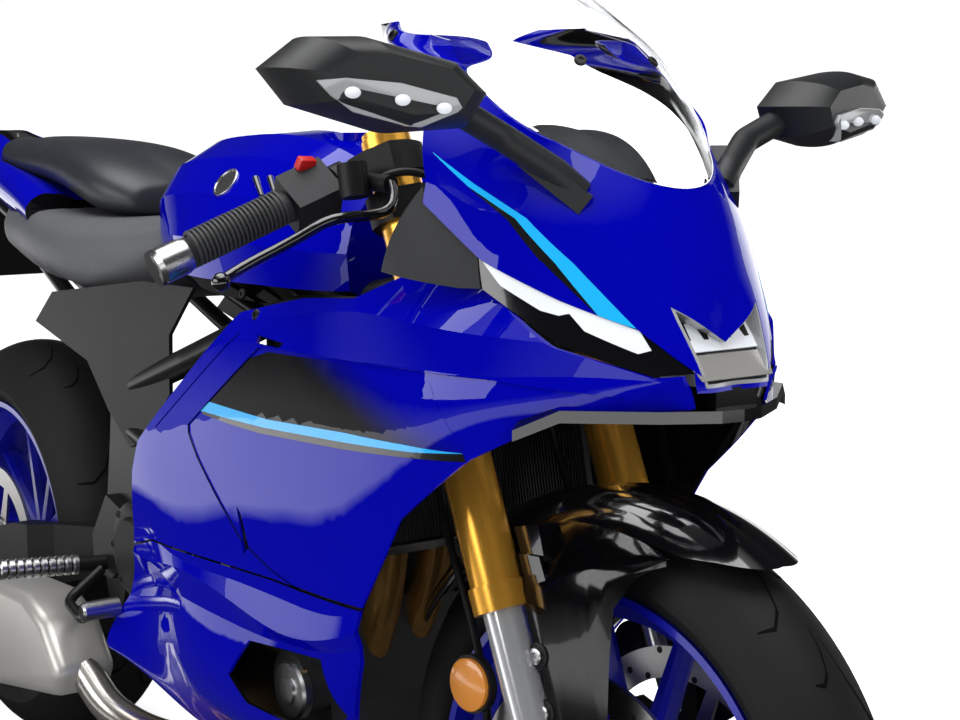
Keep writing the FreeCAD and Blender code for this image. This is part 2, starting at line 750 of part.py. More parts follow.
fender = new_body("fender")
inner = S.FrontTyreRadius + 16
half = S.FrontTyreWidth / 2 + 10
fender_arc = outline(fender, "XY", [
    (inner - 34, half), (inner + 3 - 12, half * 0.72, "via"), (inner + 4, 0),
    (inner - 9, -half * 0.72, "via"), (inner - 34, -half), (inner - 34, 3 - half),
    (inner - 13, 3 - half * 0.72, "via"), (inner, 0),
    (inner - 13, half * 0.72 - 3, "via"), (inner - 34, half - 3)])
revolve(fender, fender_arc, angle=92)
fender.Placement = FreeCAD.Placement(V(0, 0, 0), FreeCAD.Rotation(V(0, 1, 0), -125))
ears = pair(shaped(prism([(33, 262), (60, 252), (62, 180), (44, 84), (30, 84), (24, 110), (24, 190),
                          (33, 205)], 94.3, 98)))
ear_links = pair(shaped(prism([(33, 288), (66, 282), (62, 246), (33, 250)], 62, 94.3)))
nose_cut = shaped(Part.Face(Part.makePolygon([
    V(214, 84, 60), V(226, 74, 60), V(250, 50, 60), V(266, 22, 60), V(270, 0, 60), V(266, -22, 60),
    V(250, -50, 60), V(226, -74, 60), V(214, -84, 60), V(420, -84, 60), V(420, 84, 60),
    V(214, 84, 60)])).extrude(V(0, 0, 300)))
skirt_cut = shaped(prism([(150, 248), (206, 212), (232, 200), (262, 183), (300, 160), (260, 100), (150, 100)],
                         -90, 90))
node("front_fender", fuse([cut(fender, [nose_cut, skirt_cut]), ears, ear_links]), "fork")

caliper = cut(
    shaped(prism([(-96, -12), (-112, -30, "via"), (-152, -14), (-168, 30), (-150, 78), (-112, 98, "via"),
                  (-96, 84), (-94, 30)], 44, 94)),
    [cylinder(S.FrontDiscRadius + 3, 11, V(0, float(S.DiscPlaneHalf) - 5.5, 0), V(0, 1, 0))])
node("front_calipers", pair(caliper), "fork")

# Frame: head tube, spars, engine mounts, pivot plates

head_low = float(S.LowerClampHeight + S.ClampThickness / 2) + 2
head_high = float(S.UpperClampHeight - S.ClampThickness / 2) - 2
head_axis = -float(S.ForkOffset)
head = Part.makeCylinder(float(S.StemRadius + S.HeadWall) + 6, head_high - head_low,
                         at_rake(head_axis, head_low), STEER_DIRECTION)
head_bore = Part.makeCylinder(float(S.StemRadius + S.HeadBearingGap), 400,
                              at_rake(head_axis, head_low - 100), STEER_DIRECTION)


def left_and_right(points):
    return [V(x, y, z) for x, y, z in points], [V(x, -y, z) for x, y, z in points]


frame_runs = [
    ([(-286, 12, 800), (-440, 128, 760), (-640, 136, 690), (-800, 128, 640)], 17, 90),
    ([(-280, 10, 780), (-400, 128, 720), (-560, 150, 600), (-700, 150, 570), (-820, 128, 580)], 14, 70),
]
frame_solid = head
for points, radius, bend in frame_runs:
    for side in left_and_right(points):
        frame_solid = frame_solid.fuse(tube(side, radius, bend))
plate_outline = [(-770, 660), (-800, 690), (-856, 684), (-872, 560), (-892, 440), (-900, 380),
                 (-876, 312), (-858, 312), (-826, 400), (-806, 520), (-776, 590)]
for y0 in (122, -138):
    frame_solid = frame_solid.fuse(prism(plate_outline, y0, y0 + 16))
for x, z, r in ((-835, 655, 14), (-812, 590, 9)):
    frame_solid = frame_solid.fuse(Part.makeCylinder(r, 260, V(x, -130, z), V(0, 1, 0)))
cowl_stay = V(48, 0, 758) - V(-241, 0, 806)
frame_solid = frame_solid.fuse(Part.makeCylinder(9, cowl_stay.Length, V(-241, 0, 806), cowl_stay))
frame_solid = frame_solid.cut(head_bore)
frame_solid = frame_solid.cut(Part.makeCylinder(float(S.SwingPivotRadius), 300,
                                                V(float(S.PivotX), -150, float(S.PivotHeight)), V(0, 1, 0)))

# Subframe: seat rails
sub = None
for points in ([(-838, 100, 690 + 6), (-1000, 96, 742), (-1200, 84, 800), (-1420, 60, 852)],
               [(-860, 100, 640), (-1000, 96, 690), (-1200, 84, 775), (-1300, 76, 800)]):
    for side in left_and_right(points):
        run = tube(side, 11, 160)
        sub = run if sub is None else sub.fuse(run)
for x, z, y in ((-1010, 744, 96), (-1270, 816, 80), (-1414, 850, 60)):
    sub = sub.fuse(Part.makeCylinder(9, 2 * y, V(x, -y, z), V(0, 1, 0)))
stand_home = V(float(S.StandPivotX), float(S.StandPivotY), float(S.StandPivotHeight))
bracket = Part.makeBox(60, 12, 140, stand_home - V(40, 26.5, 20))
bolt = Part.makeCylinder(float(S.StandBoltRadius), 50, stand_home - V(0, 25, 0), V(0, 1, 0))
frame_solid = frame_solid.fuse([sub, bracket, bolt])
node("frame", shaped(frame_solid))

# Engine

engine = new_body("engine")
pad(engine, outline(engine, "XZ", [
    (-392, 250), (-430, 232), (-720, 232), (-790, 262), (-822, 330), (-815, 400), (-770, 500),
    (-650, 500), (-470, 500), (-372, 440), (-366, 330)]), 270)
for side in (1, -1):
    pocket(engine, outline(engine, "YZ", [
        (side * 85, 200), (side * 150, 200), (side * 150, 400), (side * 128, 370)]))
pocket(engine, outline(engine, "XZ", [
    (-850, 320), (-714, 320), (-714, 460), (-850, 460)], offset=131), 76)
cylinders = new_body("cylinders")
pad(cylinders, outline(cylinders, "XZ", [
    (-380, 450), (-470, 496), (-640, 496), (-575, 690), (-520, 716), (-412, 716), (-380, 680),
    (-380, 560)]), 200)
drive = Part.makeCylinder(14, 24, V(shaft.x, 88, shaft.z), V(0, 1, 0))
teeth = sprocket(S.FrontTeeth, 0, 8, chain_y)
teeth.translate(V(shaft.x, 0, shaft.z))
node("engine", fuse([engine, cylinders, shaped(drive.fuse(teeth))]))

clutch = new_body("clutch")
revolve(clutch, outline(clutch, "XZ", [
    (0, 0), (84, 0), (84, 12), (72, 24), (56, 26), (52, 42), (40, 48), (38, 44), (26, 44), (24, 50),
    (0, 50)]))
clutch.Placement = turned(V(-704, -135.3, 446), V(0, -1, 0))
generator = new_body("generator")
revolve(generator, outline(generator, "XZ", [
    (0, 0), (70, 0), (70, 12), (58, 26), (40, 30), (0, 30)]))
generator.Placement = turned(V(-600, 135.3, 440), V(0, 1, 0))
pump = Part.makeCylinder(36, 34, V(-396, -118, 356), V(0, -1, 0))
pump = pump.fuse(Part.makeBox(64, 26, 110, V(-434, -142, 346))).fuse(
    Part.makeCylinder(24, 8, V(-396, -150, 356), V(0, -1, 0)))
engine_cut = shaped(pump)
node("engine_covers", group([clutch, generator, cut(engine_cut, [engine])]))

# Cooling and exhaust

radiator = new_body("radiator")
pad(radiator, outline(radiator, "XZ", [(-14, -110), (14, -110), (14, 110), (-14, 110)]), 320)
for step in range(-10, 11, 2):
    pocket(radiator, outline(radiator, "XZ", [
        (9, step * 10 - 3), (15, step * 10 - 3), (15, step * 10 + 3), (9, step * 10 + 3)]), 292)
radiator.Placement = FreeCAD.Placement(V(-279, 0, 630), FreeCAD.Rotation(V(0, 1, 0), -11))
doc.recompute()
radiator_shape = radiator.Shape.copy()
brackets = [Part.makeBox(78, 16, 18, V(-386, y, 708)).cut([frame_solid, radiator_shape]) for y in (92, -108)]
brackets = [max(b.Solids, key=lambda s: s.CenterOfMass.x) for b in brackets]
node("radiator", group([radiator] + [shaped(b) for b in brackets]))

header_shapes = None
for y in (45, -45):
    run = tube([V(-361, y, 610), V(-328, y, 560), V(-304, y, 440), V(-338, y * 0.9, 262),
                V(-440, y * 0.7, 196), V(-560, y * 0.6, 186)], 19, 40)
    header_shapes = run if header_shapes is None else header_shapes.fuse(run)
collector = Part.makeCone(46, 34, 90, V(-545, 0, 184), V(-1, 0, 0))
header_shapes = header_shapes.fuse(collector)
link_pipe = tube([V(-628, 0, 184), V(-690, -20, 184), V(-752, -120, 214), V(-806, -192, 272), V(-860, -202, 284)],
                 27, 40)
can = Part.makeCylinder(50, 310, V(-846, -202, 282), V(-1, -0.02, 0.12))
node("exhaust", shaped(header_shapes.fuse([link_pipe, can])))

# Bodywork in bike coordinates; the panels are drawn on the left and mirrored

def section_loft(stations, closed=True):
    """Solid through closed cross-sections given as (x, [(y, z), ...]) on the left, then mirrored."""
    wires = []
    for x, points in stations:
        full = [V(x, y, z) for y, z in points] + [V(x, -y, z) for y, z in reversed(points) if y > 0.01]
        curve = Part.BSplineCurve()
        curve.interpolate(Points=full, PeriodicFlag=True)
        wires.append(Part.Wire([curve.toShape()]))
    return Part.makeLoft(wires, True, False)


def creased_loft(stations):
    """Solid through closed cross-sections whose corners run along the body as sharp creases."""
    wires = []
    for x, points in stations:
        full = [V(x, y, z) for y, z in points] + [V(x, -y, z) for y, z in reversed(points) if y > 0.01]
        wires.append(Part.makePolygon(full + full[:1]))
    return Part.makeLoft(wires, True, False)


def offset_points(points, distance, inward):
    """The polyline moved sideways by a distance; inward turns a run's direction into its inner side."""
    moved = []
    for k, p in enumerate(points):
        before = (p - points[k - 1]).normalize() if k else None
        after = (points[k + 1] - p).normalize() if k + 1 < len(points) else None
        if before is None or after is None:
            moved.append(p + inward(before or after) * distance)
            continue
        a, b = inward(before), inward(after)
        middle = (a + b).normalize()
        moved.append(p + middle * (distance / max(middle.dot(a), 0.6)))
    return moved


def skin_loft(stations, near, far, smooth=()):
    """Left half-shell between two depths under outer curves given as (x, [(y, z), ...]) from the top down.

    smooth names the runs of corners, as (first, last), that one spline joins in place of creases.
    """
    def inward(run):
        return V(0, run.z, -run.y).normalize()

    wires = []
    for x, points in stations:
        line = [V(x, y, z) for y, z in points]
        outer = offset_points(line, near, inward)
        inner = offset_points(line, far, inward)
        edges = curve_edges(outer, smooth)
        edges.append(Part.LineSegment(outer[-1], inner[-1]).toShape())
        edges += curve_edges(inner, smooth)[::-1]
        edges.append(Part.LineSegment(inner[0], outer[0]).toShape())
        wires.append(Part.Wire(Part.__sortEdges__(edges)))
    return Part.makeLoft(wires, True, False)


def curve_edges(points, smooth):
    """Straight edges between the points, with a spline over each smooth run."""
    edges = []
    k = 0
    while k < len(points) - 1:
        run = next((r for r in smooth if r[0] == k), None)
        if run:
            edges.append(spline(points[run[0]:run[1] + 1]))
            k = run[1]
        else:
            edges.append(Part.LineSegment(points[k], points[k + 1]).toShape())
            k += 1
    return edges


def plan_loft(levels, near, far):
    """Shell between two depths through level curves given as (z, [(x, y), ...]), rear edge to nose."""
    wires = []
    for z, points in levels:
        line = [V(x, y, z) for x, y in points] + [V(x, -y, z) for x, y in reversed(points) if y > 0.01]
        outer = offset_points(line, near, lambda run: V(run.y, -run.x, 0).normalize())
        inner = offset_points(line, far, lambda run: V(run.y, -run.x, 0).normalize())
        wires.append(Part.Wire([
            spline(outer), Part.LineSegment(outer[-1], inner[-1]).toShape(),
            spline(list(reversed(inner))), Part.LineSegment(inner[0], outer[0]).toShape()]))
    return Part.makeLoft(wires, True, False)


thickness = float(S.SkinThickness)

# Nose levels: the cowl, lamps and wedge panels are cut from one surface
nose_levels = [
    (724, [(-150, 190), (-40, 178), (40, 134), (92, 92), (124, 58), (138, 36), (136, 0)]),
    (745, [(-150, 190), (-30, 178), (44, 136), (94, 92), (124, 58), (137, 36), (132, 0)]),
    (783, [(-150, 190), (-30, 172), (30, 140), (80, 98), (108, 66), (121, 40), (118, 0)]),
    (825, [(-150, 192), (-60, 182), (0, 152), (50, 112), (84, 74), (102, 42), (107, 0)]),
    (879, [(-160, 198), (-90, 187), (-30, 156), (26, 112), (60, 74), (80, 40), (86, 0)]),
    (913, [(-170, 198), (-95, 184), (-46, 154), (6, 110), (42, 72), (63, 38), (71, 0)]),
    (950, [(-180, 192), (-108, 178), (-64, 148), (-16, 108), (18, 70), (42, 36), (52, 0)]),
    (1008, [(-210, 158), (-150, 150), (-96, 130), (-52, 98), (-20, 64), (-2, 34), (6, 0)]),
    (1070, [(-270, 108), (-225, 119), (-170, 116), (-128, 90), (-104, 60), (-88, 32), (-80, 0)]),
    (1160, [(-330, 92), (-276, 90), (-236, 78), (-204, 58), (-180, 36), (-168, 18), (-163, 0)])]
cowl_outline = [(-30, 849), (-26, 846), (38, 813), (94, 788), (108, 775), (131, 752), (134, 733),
                (160, 733), (200, 1068), (-340, 1068), (-240, 1040), (-106, 962),
                (-88, 915), (-88, 896)]
screen_cut = [(72, 908), (300, 1200), (-330, 1200), (-219, 1066), (-135, 1046), (-87, 1004), (-17, 958)]
duct_front = [(-54, 808), (0, 774), (54, 808), (39, 737), (-39, 737)]


def across_nose(points, x0, x1):
    """Front-view outline (y, z) extruded from x0 to x1."""
    corners = [V(x0, y, z) for y, z in points]
    return Part.Face(Part.makePolygon(corners + corners[:1])).extrude(V(x1 - x0, 0, 0))


cowl_skin = plan_loft(nose_levels, 0, thickness)
cowl = cowl_skin.common(prism(cowl_outline, -300, 300)).cut(prism(screen_cut, -300, 300))
duct_back = [(y * 0.82, 772 + (z - 772) * 0.86) for y, z in duct_front]


def duct_loft(x0, x1, across, down):
    """Tapered duct from its back to the nose, shrunk by these shares, then straight on ahead."""
    rings = []
    for x, ring in ((x0, duct_back), (x1, duct_front)):
        corners = [V(x, y * across, 771 + (z - 771) * down) for y, z in ring]
        rings.append(Part.makePolygon(corners + corners[:1]))
    ahead = [(y * across, 771 + (z - 771) * down) for y, z in duct_front]
    return Part.makeLoft(rings, True, True).fuse(across_nose(ahead, x1, 220))


duct_block = duct_loft(40, 112, 1, 1)
cowl = cowl.cut(duct_block)

screen_outline = [(72, 908.5), (110, 957), (0, 1085), (-90, 1155), (-250, 1155), (-219.4, 1066.6),
                  (-135.2, 1046.6), (-87.2, 1004.6), (-17, 958.6)]
screen = plan_loft(nose_levels[4:], 0, float(S.ScreenThickness))
screen = screen.common(prism(screen_outline, -300, 300))
screen = max(screen.Solids, key=lambda s: s.Volume)
node("windscreen", shaped(screen))
node("upper_cowl", shaped(cowl))

# Lamps in the cut between cowl and side panels, and the projector in the nose duct
lamp_outline = [(-26, 845), (38, 812), (94, 787), (104, 770), (97, 767), (60, 786), (47, 801), (40, 799),
                (26, 803), (-8, 824)]
bezel_outline = [(-30, 848), (-26, 846), (38, 813), (94, 788), (108, 775), (131, 750), (108, 747),
                 (47, 772), (-23, 820)]
lamp_skin = plan_loft(nose_levels, 1.5, 16)
lamps = lamp_skin.common(prism(lamp_outline, 0, 300))
bezels = plan_loft(nose_levels, 2.0, 2 + 3 * thickness).common(prism(bezel_outline, 0, 300)).cut(lamps)
node("position_lights", pair(shaped(lamps)))

duct = duct_block.cut(duct_loft(58, 112, 0.93, 0.9)).common(plan_loft(nose_levels, 0.5, 200))
duct = max(duct.cut([cowl, bezels, bezels.mirror(V(0, 0, 0), V(0, 1, 0))]).Solids, key=lambda s: s.Volume)
lens = across_nose([(-36, 792), (0, 768), (36, 792), (33, 757), (0, 750), (-33, 757)], 57.9, 84)
duct = duct.fuse(lens.cut(duct)).cut(frame_solid)
node("headlight", shaped(duct))

# Chin wing under the nose, with drooping tips
wing_plan = [(31, 172), (57, 141), (115, 73), (143, 24), (146, 0), (143, -24), (115, -73), (57, -141),
             (31, -172), (20, -150), (40, -124), (96, -60), (112, -20), (112, 20), (96, 60), (40, 124),
             (20, 150)]
wing_face = Part.Face(Part.makePolygon([V(x, y, 680) for x, y in wing_plan + wing_plan[:1]]))
wing_front = [(0, 716), (140, 717), (176, 697), (176, 687), (140, 706), (0, 705), (-140, 706), (-176, 687),
              (-176, 697), (-140, 717)]
wing = wing_face.extrude(V(0, 0, 60)).common(across_nose(wing_front, 0, 200))
wing = wing.fuse(Part.makeBox(26, 50, 22, V(110, -25, 713)))
bezel_right = bezels.mirror(V(0, 0, 0), V(0, 1, 0))

# Side panels: one master surface with a ridge, a shadow line under it and a flat decal field

side_stations = [
    (128, [(52, 765), (60, 752), (58, 744), (54, 738), (50, 730), (48, 724), (44, 712), (40, 700), (38, 695),
           (36, 690)]),
    (100, [(72, 775), (86, 760), (84, 744), (84, 736), (80, 728), (76, 722), (70, 712), (60, 700), (56, 695),
           (50, 690)]),
    (60, [(104, 792), (124, 772), (124, 746), (128, 730), (124, 706), (118, 690), (110, 680), (100, 670),
          (96, 665), (90, 660)]),
    (0, [(146, 812), (174, 780), (176, 744), (182, 715), (172, 672), (160, 640), (150, 620), (130, 600),
         (122, 595), (110, 590)]),
    (-80, [(152, 824), (194, 785), (198, 744), (207, 690), (196, 610), (180, 560), (170, 540), (150, 520),
           (138, 508), (120, 500)]),
    (-170, [(158, 822), (200, 789), (204, 742), (213, 660), (208, 560), (200, 494), (198, 478), (184, 460),
            (168, 442), (140, 430)]),
    (-300, [(180, 800), (197, 776), (206, 740), (215, 650), (214, 550), (210, 478), (212, 442), (196, 425),
            (180, 356), (130, 300)]),
    (-430, [(178, 780), (190, 760), (200, 736), (214, 650), (215, 550), (212, 478), (215, 458), (204, 425),
            (188, 320), (112, 246)]),
    (-560, [(168, 755), (182, 730), (200, 680), (211, 620), (214, 540), (212, 480), (214, 466), (204, 430),
            (188, 316), (108, 238)]),
    (-700, [(162, 720), (176, 690), (192, 640), (200, 600), (204, 530), (204, 480), (205, 466), (196, 400),
            (180, 300), (106, 240)]),
    (-840, [(160, 700), (172, 660), (184, 610), (190, 570), (194, 510), (192, 470), (190, 440), (178, 370),
            (160, 310), (100, 280)])]
soft_runs = [(2, 5), (7, 9)]
side_outline = [(-23, 819), (47, 771), (108, 746), (131, 749), (146, 731), (126, 717), (67, 716), (23, 691),
                (-21, 665), (-106, 598), (-175, 497), (-328, 497.5), (-612, 486), (-668, 470), (-660, 560),
                (-645, 598), (-595, 638), (-500, 712), (-429, 767), (-299, 792), (-204, 799), (-153, 826),
                (-46, 818)]
belly_outline = [(-176, 494), (-203, 431), (-261, 350), (-330, 285), (-560, 240), (-700, 240), (-745, 248),
                 (-757, 308), (-700, 400), (-668, 467), (-612, 483.5), (-328, 495)]
recess_outline = [(-360, 737), (-263, 740), (-86, 743), (0, 742), (90, 728), (60, 690), (-150, 470),
                  (-330, 505), (-388, 525), (-435, 562), (-484, 603), (-507, 627), (-509, 636)]
side = skin_loft(side_stations, 0, thickness + 1, soft_runs)
recess = skin_loft(side_stations, -2, float(S.RecessDepth), soft_runs).common(prism(recess_outline, 0, 300))
groove = skin_loft(side_stations, -2, 1.0, soft_runs).common(
    prism([(-412, 746), (-595, 620), (-596, 622), (-413, 748)], 0, 300))
vent = prism([(-369, 749), (-309, 746), (-318, 740), (-366, 740)], 150, 300)
low_vent = prism([(-399, 564), (-390, 556), (-376, 520), (-386, 512)], 150, 300)
belly_window = prism([(-397, 413), (-262, 423), (-262, 356), (-300, 322), (-420, 335), (-442, 365)], 150, 300)
upper_side = side.common(prism(side_outline, 20, 300)).cut(recess).cut(groove).cut(vent).cut(low_vent)
upper_side = max(upper_side.Solids, key=lambda s: s.Volume)
belly = side.common(prism(belly_outline, 20, 300)).cut(belly_window)
belly = max(belly.Solids, key=lambda s: s.Volume)
upper_side = upper_side.cut(bezels)
node("side_fairings", pair(shaped(upper_side)))
node("belly_fairings", pair(shaped(belly)))
wing = wing.cut([upper_side, upper_side.mirror(V(0, 0, 0), V(0, 1, 0)), cowl, duct])
wing = max(wing.Solids, key=lambda s: s.Volume)
node("nose_trim", shaped(Part.Compound([wing, bezels, bezel_right])))

# Tank, seats and tail
tank = creased_loft([
    (-352, [(0, 905), (40, 902), (70, 890), (92, 862), (100, 830), (96, 790), (60, 772), (0, 770)]),
    (-420, [(0, 938), (48, 934), (84, 912), (108, 872), (128, 832), (130, 790), (80, 766), (0, 760)]),
    (-500, [(0, 956), (54, 952), (96, 928), (128, 884), (150, 836), (150, 792), (90, 762), (0, 756)]),
    (-600, [(0, 960), (56, 956), (104, 930), (136, 888), (156, 838), (152, 792), (90, 762), (0, 756)]),
    (-690, [(0, 956), (56, 950), (104, 924), (132, 884), (140, 836), (136, 796), (88, 766), (0, 760)]),
    (-752, [(0, 936), (54, 930), (96, 906), (118, 872), (118, 832), (112, 800), (80, 776), (0, 770)]),
    (-780, [(0, 900), (50, 896), (84, 878), (100, 854), (100, 826), (94, 802), (70, 786), (0, 780)])])
tank = tank.cut(frame_solid)
cap = Part.makeCylinder(36, 12, V(-490, 0, 946), V(0, 0, 1))
node("fuel_tank", shaped(tank.fuse(cap)))

rider_seat = section_loft([
    (-781, [(0, 862), (56, 858), (92, 842), (96, 810), (60, 775), (0, 770)]),
    (-860, [(0, 846), (72, 844), (128, 826), (132, 784), (84, 748), (0, 744)]),
    (-960, [(0, 838), (92, 840), (154, 822), (156, 778), (98, 748), (0, 744)]),
    (-1080, [(0, 842), (98, 846), (154, 832), (154, 788), (100, 764), (0, 760)]),
    (-1200, [(0, 866), (84, 864), (136, 850), (142, 812), (92, 792), (0, 788)])]).cut(frame_solid).cut(tank)
pillion = section_loft([
    (-926, [(0, 884), (40, 882), (66, 872), (68, 854), (46, 846), (0, 844)]),
    (-980, [(0, 912), (62, 910), (98, 890), (98, 862), (66, 846), (0, 844)]),
    (-1080, [(0, 936), (66, 932), (100, 912), (100, 884), (70, 868), (0, 864)]),
    (-1250, [(0, 944), (60, 942), (88, 926), (90, 902), (60, 888), (0, 884)]),
    (-1400, [(0, 944), (40, 942), (56, 932), (56, 916), (40, 906), (0, 904)])])
tail = section_loft([
    (-1100, [(0, 862), (70, 862), (122, 872), (148, 852), (122, 812), (60, 804), (0, 804)]),
    (-1220, [(0, 888), (70, 890), (108, 900), (128, 880), (108, 836), (60, 826), (0, 826)]),
    (-1400, [(0, 910), (60, 912), (84, 926), (98, 908), (84, 876), (50, 862), (0, 862)]),
    (-1540, [(0, 958), (30, 958), (50, 952), (58, 938), (48, 918), (28, 908), (0, 908)])])
seat_shape = rider_seat.cut(tail.cut(frame_solid))
seat_shape = max(seat_shape.cut(pillion).Solids, key=lambda s: s.Volume)
node("rider_seat", shaped(seat_shape))
node("pillion_seat", shaped(pillion))
tail = max(tail.cut(frame_solid).cut(pillion).cut(seat_shape).Solids, key=lambda s: s.Volume)
node("tail_fairing", shaped(tail))
light = prism([(-1536, 952), (-1556, 946), (-1552, 922), (-1530, 914)], -40, 40).cut(tail)
node("tail_light", shaped(max(light.Solids, key=lambda s: s.Volume)))

# Mirrors: a swept arm from the cowl to a shell that tapers towards the front
mirror_rim = [(369, 1015), (335, 1041), (293, 1042), (212, 1022), (181, 993), (200, 964), (263, 960), (344, 984)]
rings = []
for back, shrink in ((24, 0.97), (0, 1.0), (-26, 0.92), (-46, 0.62)):
    ring = []
    for y, z in mirror_rim:
        ring.append(V(-10 - back - (y - 181) * 0.2, 272 + (y - 272) * shrink, 1001 + (z - 1001) * shrink))
    rings.append(Part.makePolygon(ring + ring[:1]))
mirror_shell = Part.makeLoft(rings, True, False)
arm = tube([V(-16, 205, 984), V(-12, 150, 956), V(12, 108, 925), V(24, 88, 905)], 13, 30)
boot = Part.makeBox(70, 34, 20, V(-30, -17, -10))
boot.Placement = FreeCAD.Placement(V(4, 104, 920), FreeCAD.Rotation(V(0, 0, 1), -42).multiply(
    FreeCAD.Rotation(V(0, 1, 0), 38)))
mirror_arm = arm.fuse(boot).cut(cowl).cut(screen)
outside = max(mirror_arm.Solids, key=lambda s: s.Volume)
mirror = mirror_shell.fuse(outside)
right_mirror = mirror.mirror(V(0, 0, 0), V(0, 1, 0))
left_shell = mirror_shell.fuse(arm)
left_shell.rotate(V(12, 100, 925), V(1, 0, 0), -6)
left_mirror = left_shell.fuse(boot).cut(cowl).cut(screen)
left_mirror = max(left_mirror.Solids, key=lambda s: s.Volume)
node("mirrors", shaped(Part.Compound([left_mirror, right_mirror])))

# Matte panels: wedges beside the lamps, dash cover, side covers under the seat
wedge_outline = [(-93, 911), (-89, 895.5), (-32, 848.5), (-26, 820.4), (-46, 820), (-150, 829), (-124, 868)]
wedge = plan_loft(nose_levels, 3, 3 + thickness).common(prism(wedge_outline, 60, 300))
wedge = wedge.cut([upper_side, cowl, bezels, lamps])
wedge = max(wedge.Solids, key=lambda s: s.Volume)
dash = section_loft([
    (-150, [(0, 985), (60, 982), (110, 968), (112, 956), (60, 950), (0, 948)]),
    (-80, [(0, 980), (50, 976), (96, 958), (98, 944), (50, 936), (0, 934)]),
    (-20, [(0, 958), (36, 954), (64, 938), (66, 924), (36, 918), (0, 916)]),
    (20, [(0, 930), (20, 928), (36, 918), (38, 908), (20, 902), (0, 900)])])
dash = max(dash.cut([screen, cowl]).Solids, key=lambda s: s.Volume)
cover = prism([(-619, 777), (-684, 715), (-687, 642), (-759, 576), (-800, 560), (-860, 600), (-922, 659),
               (-1089, 697), (-1029, 742), (-760, 775)], 139, 144)

# Stays: bars that fill the way from what carries a panel to the panel's inner face

def stay(x, z, length, height, carrier, panel):
    bar = Part.makeBox(length, 220, height, V(x - length / 2, 60, z - height / 2))
    pieces = bar.cut([carrier, panel]).Solids
    return sorted(pieces, key=lambda s: s.CenterOfMass.y)[-2]


doc.recompute()
engine_shape = engine.Shape.fuse(cylinders.Shape)
inner = [wedge, cover.cut(frame_solid),
         stay(-290, 690, 14, 30, radiator_shape, upper_side),
         stay(-560, 590, 30, 16, Part.Compound([engine_shape, frame_solid]), upper_side),
         stay(-560, 350, 30, 16, engine_shape, belly)]
inner = inner + [piece.mirror(V(0, 0, 0), V(0, 1, 0)) for piece in inner] + [dash]
node("inner_panels", shaped(Part.Compound(inner)))

# Footrests with their hangers and foot levers
hanger = prism([(-790, 470), (-860, 490), (-905, 430), (-900, 384), (-850, 380), (-820, 400)], 138, 152)
peg = Part.makeCylinder(10, 150, V(-868, 145, 398), V(-0.13, 0.99, 0.05))
lever_arm = tube([V(-862, 160, 392), V(-850, 214, 360), V(-790, 222, 352), V(-722, 222, 380)], 7, 22)
toe = Part.makeCylinder(9, 46, V(-722, 206, 380), V(0, 1, 0))
foot_control = hanger.fuse([peg, lever_arm, toe]).cut(frame_solid)
foot_control = max(foot_control.Solids, key=lambda s: s.Volume)
node("footpegs", pair(shaped(foot_control)))

# Brake hoses in the fork frame


def hose(points, radius=4.5):
    path = Part.Wire([spline(points)])
    ring = Part.Wire([Part.Circle(points[0], points[1] - points[0], radius).toShape()])
    return path.makePipeShell([ring], True, False)


right_hose = hose([V(20, -147, 652), V(46, -122, 652), V(56, -92, 632), V(48, -76, 580), V(34, -72, 530),
                   V(22, -74, 500)])
right_hose = right_hose.cut([bars.Shape, clamps.Shape, levers.Shape])
right_hose = max(right_hose.Solids, key=lambda s: s.Volume)
left_hose = hose([V(-30, 60, 470), V(-62, 84, 400), V(-66, 92, 260), V(-80, 84, 140), V(-100, 80, 96)])
node("brake_hoses", shaped(Part.Compound([
    right_hose, left_hose, left_hose.mirror(V(0, 0, 0), V(0, 1, 0))])), "fork")

# Rear shock and mudguard
shock = Part.makeCylinder(17, 268, V(-958, 0, 404), V(118, 0, 244))
for step in range(7):
    ring = Part.makeTorus(25, 5, V(-958 + 118 * (0.22 + step * 0.095), 0, 404 + 244 * (0.22 + step * 0.095)),
                          V(118, 0, 244))
    shock = shock.fuse(ring)

# Side stand



def stand_leg():
    """Leg from the pivot to a foot plate that lies flat on the ground."""
    centre = PARK.inverse().multVec(V(-775, 262, 6.0))
    top = stand_home
    shape = Part.makeCylinder(11, (centre - top).Length, top, centre - top)
    fork_eye = Part.makeCylinder(19, 18, top - V(0, 9, 0), V(0, 1, 0))
    shape = shape.fuse(fork_eye)
    shape = shape.cut(Part.makeCylinder(float(S.StandBoltRadius + S.HeadBearingGap), 60,
                                        top - V(0, 30, 0), V(0, 1, 0)))
    pad_shape = Part.makeBox(64, 40, 6, V(-32, -20, 0))
    pad_shape.Placement = FreeCAD.Placement(V(-775, 262, 0), FreeCAD.Rotation())
    pad_shape = pad_shape.transformGeometry(PARK.inverse().toMatrix())
    return shape.fuse(pad_shape)


node("side_stand", shaped(stand_leg()))

# Swingarm: plan and side outlines in common, so that the arms pass between the chain's runs

pivot = V(float(S.PivotX), 0, float(S.PivotHeight))
half_plan = [(pivot.x - 12, 92), (pivot.x - 92, 92), (pivot.x - 250, 122), (pivot.x - 290, 146),
             (REAR_AXLE.x - 62, 146), (REAR_AXLE.x - 62, 122), (REAR_AXLE.x + 240, 112),
             (REAR_AXLE.x + 350, 70)]
plan = half_plan + [(x, -y) for x, y in reversed(half_plan)]
plan_face = Part.Face(Part.makePolygon([V(x, y, 200) for x, y in plan + plan[:1]]))
arm_side = prism([
    (pivot.x - 12, pivot.z + 20), (pivot.x - 120, pivot.z + 26), (REAR_AXLE.x + 200, 392),
    (REAR_AXLE.x + 40, 348), (REAR_AXLE.x - 62, 338), (REAR_AXLE.x - 62, 292), (REAR_AXLE.x + 50, 290),
    (REAR_AXLE.x + 300, 318), (pivot.x - 120, pivot.z - 40), (pivot.x - 12, pivot.z - 20)], -200, 200)
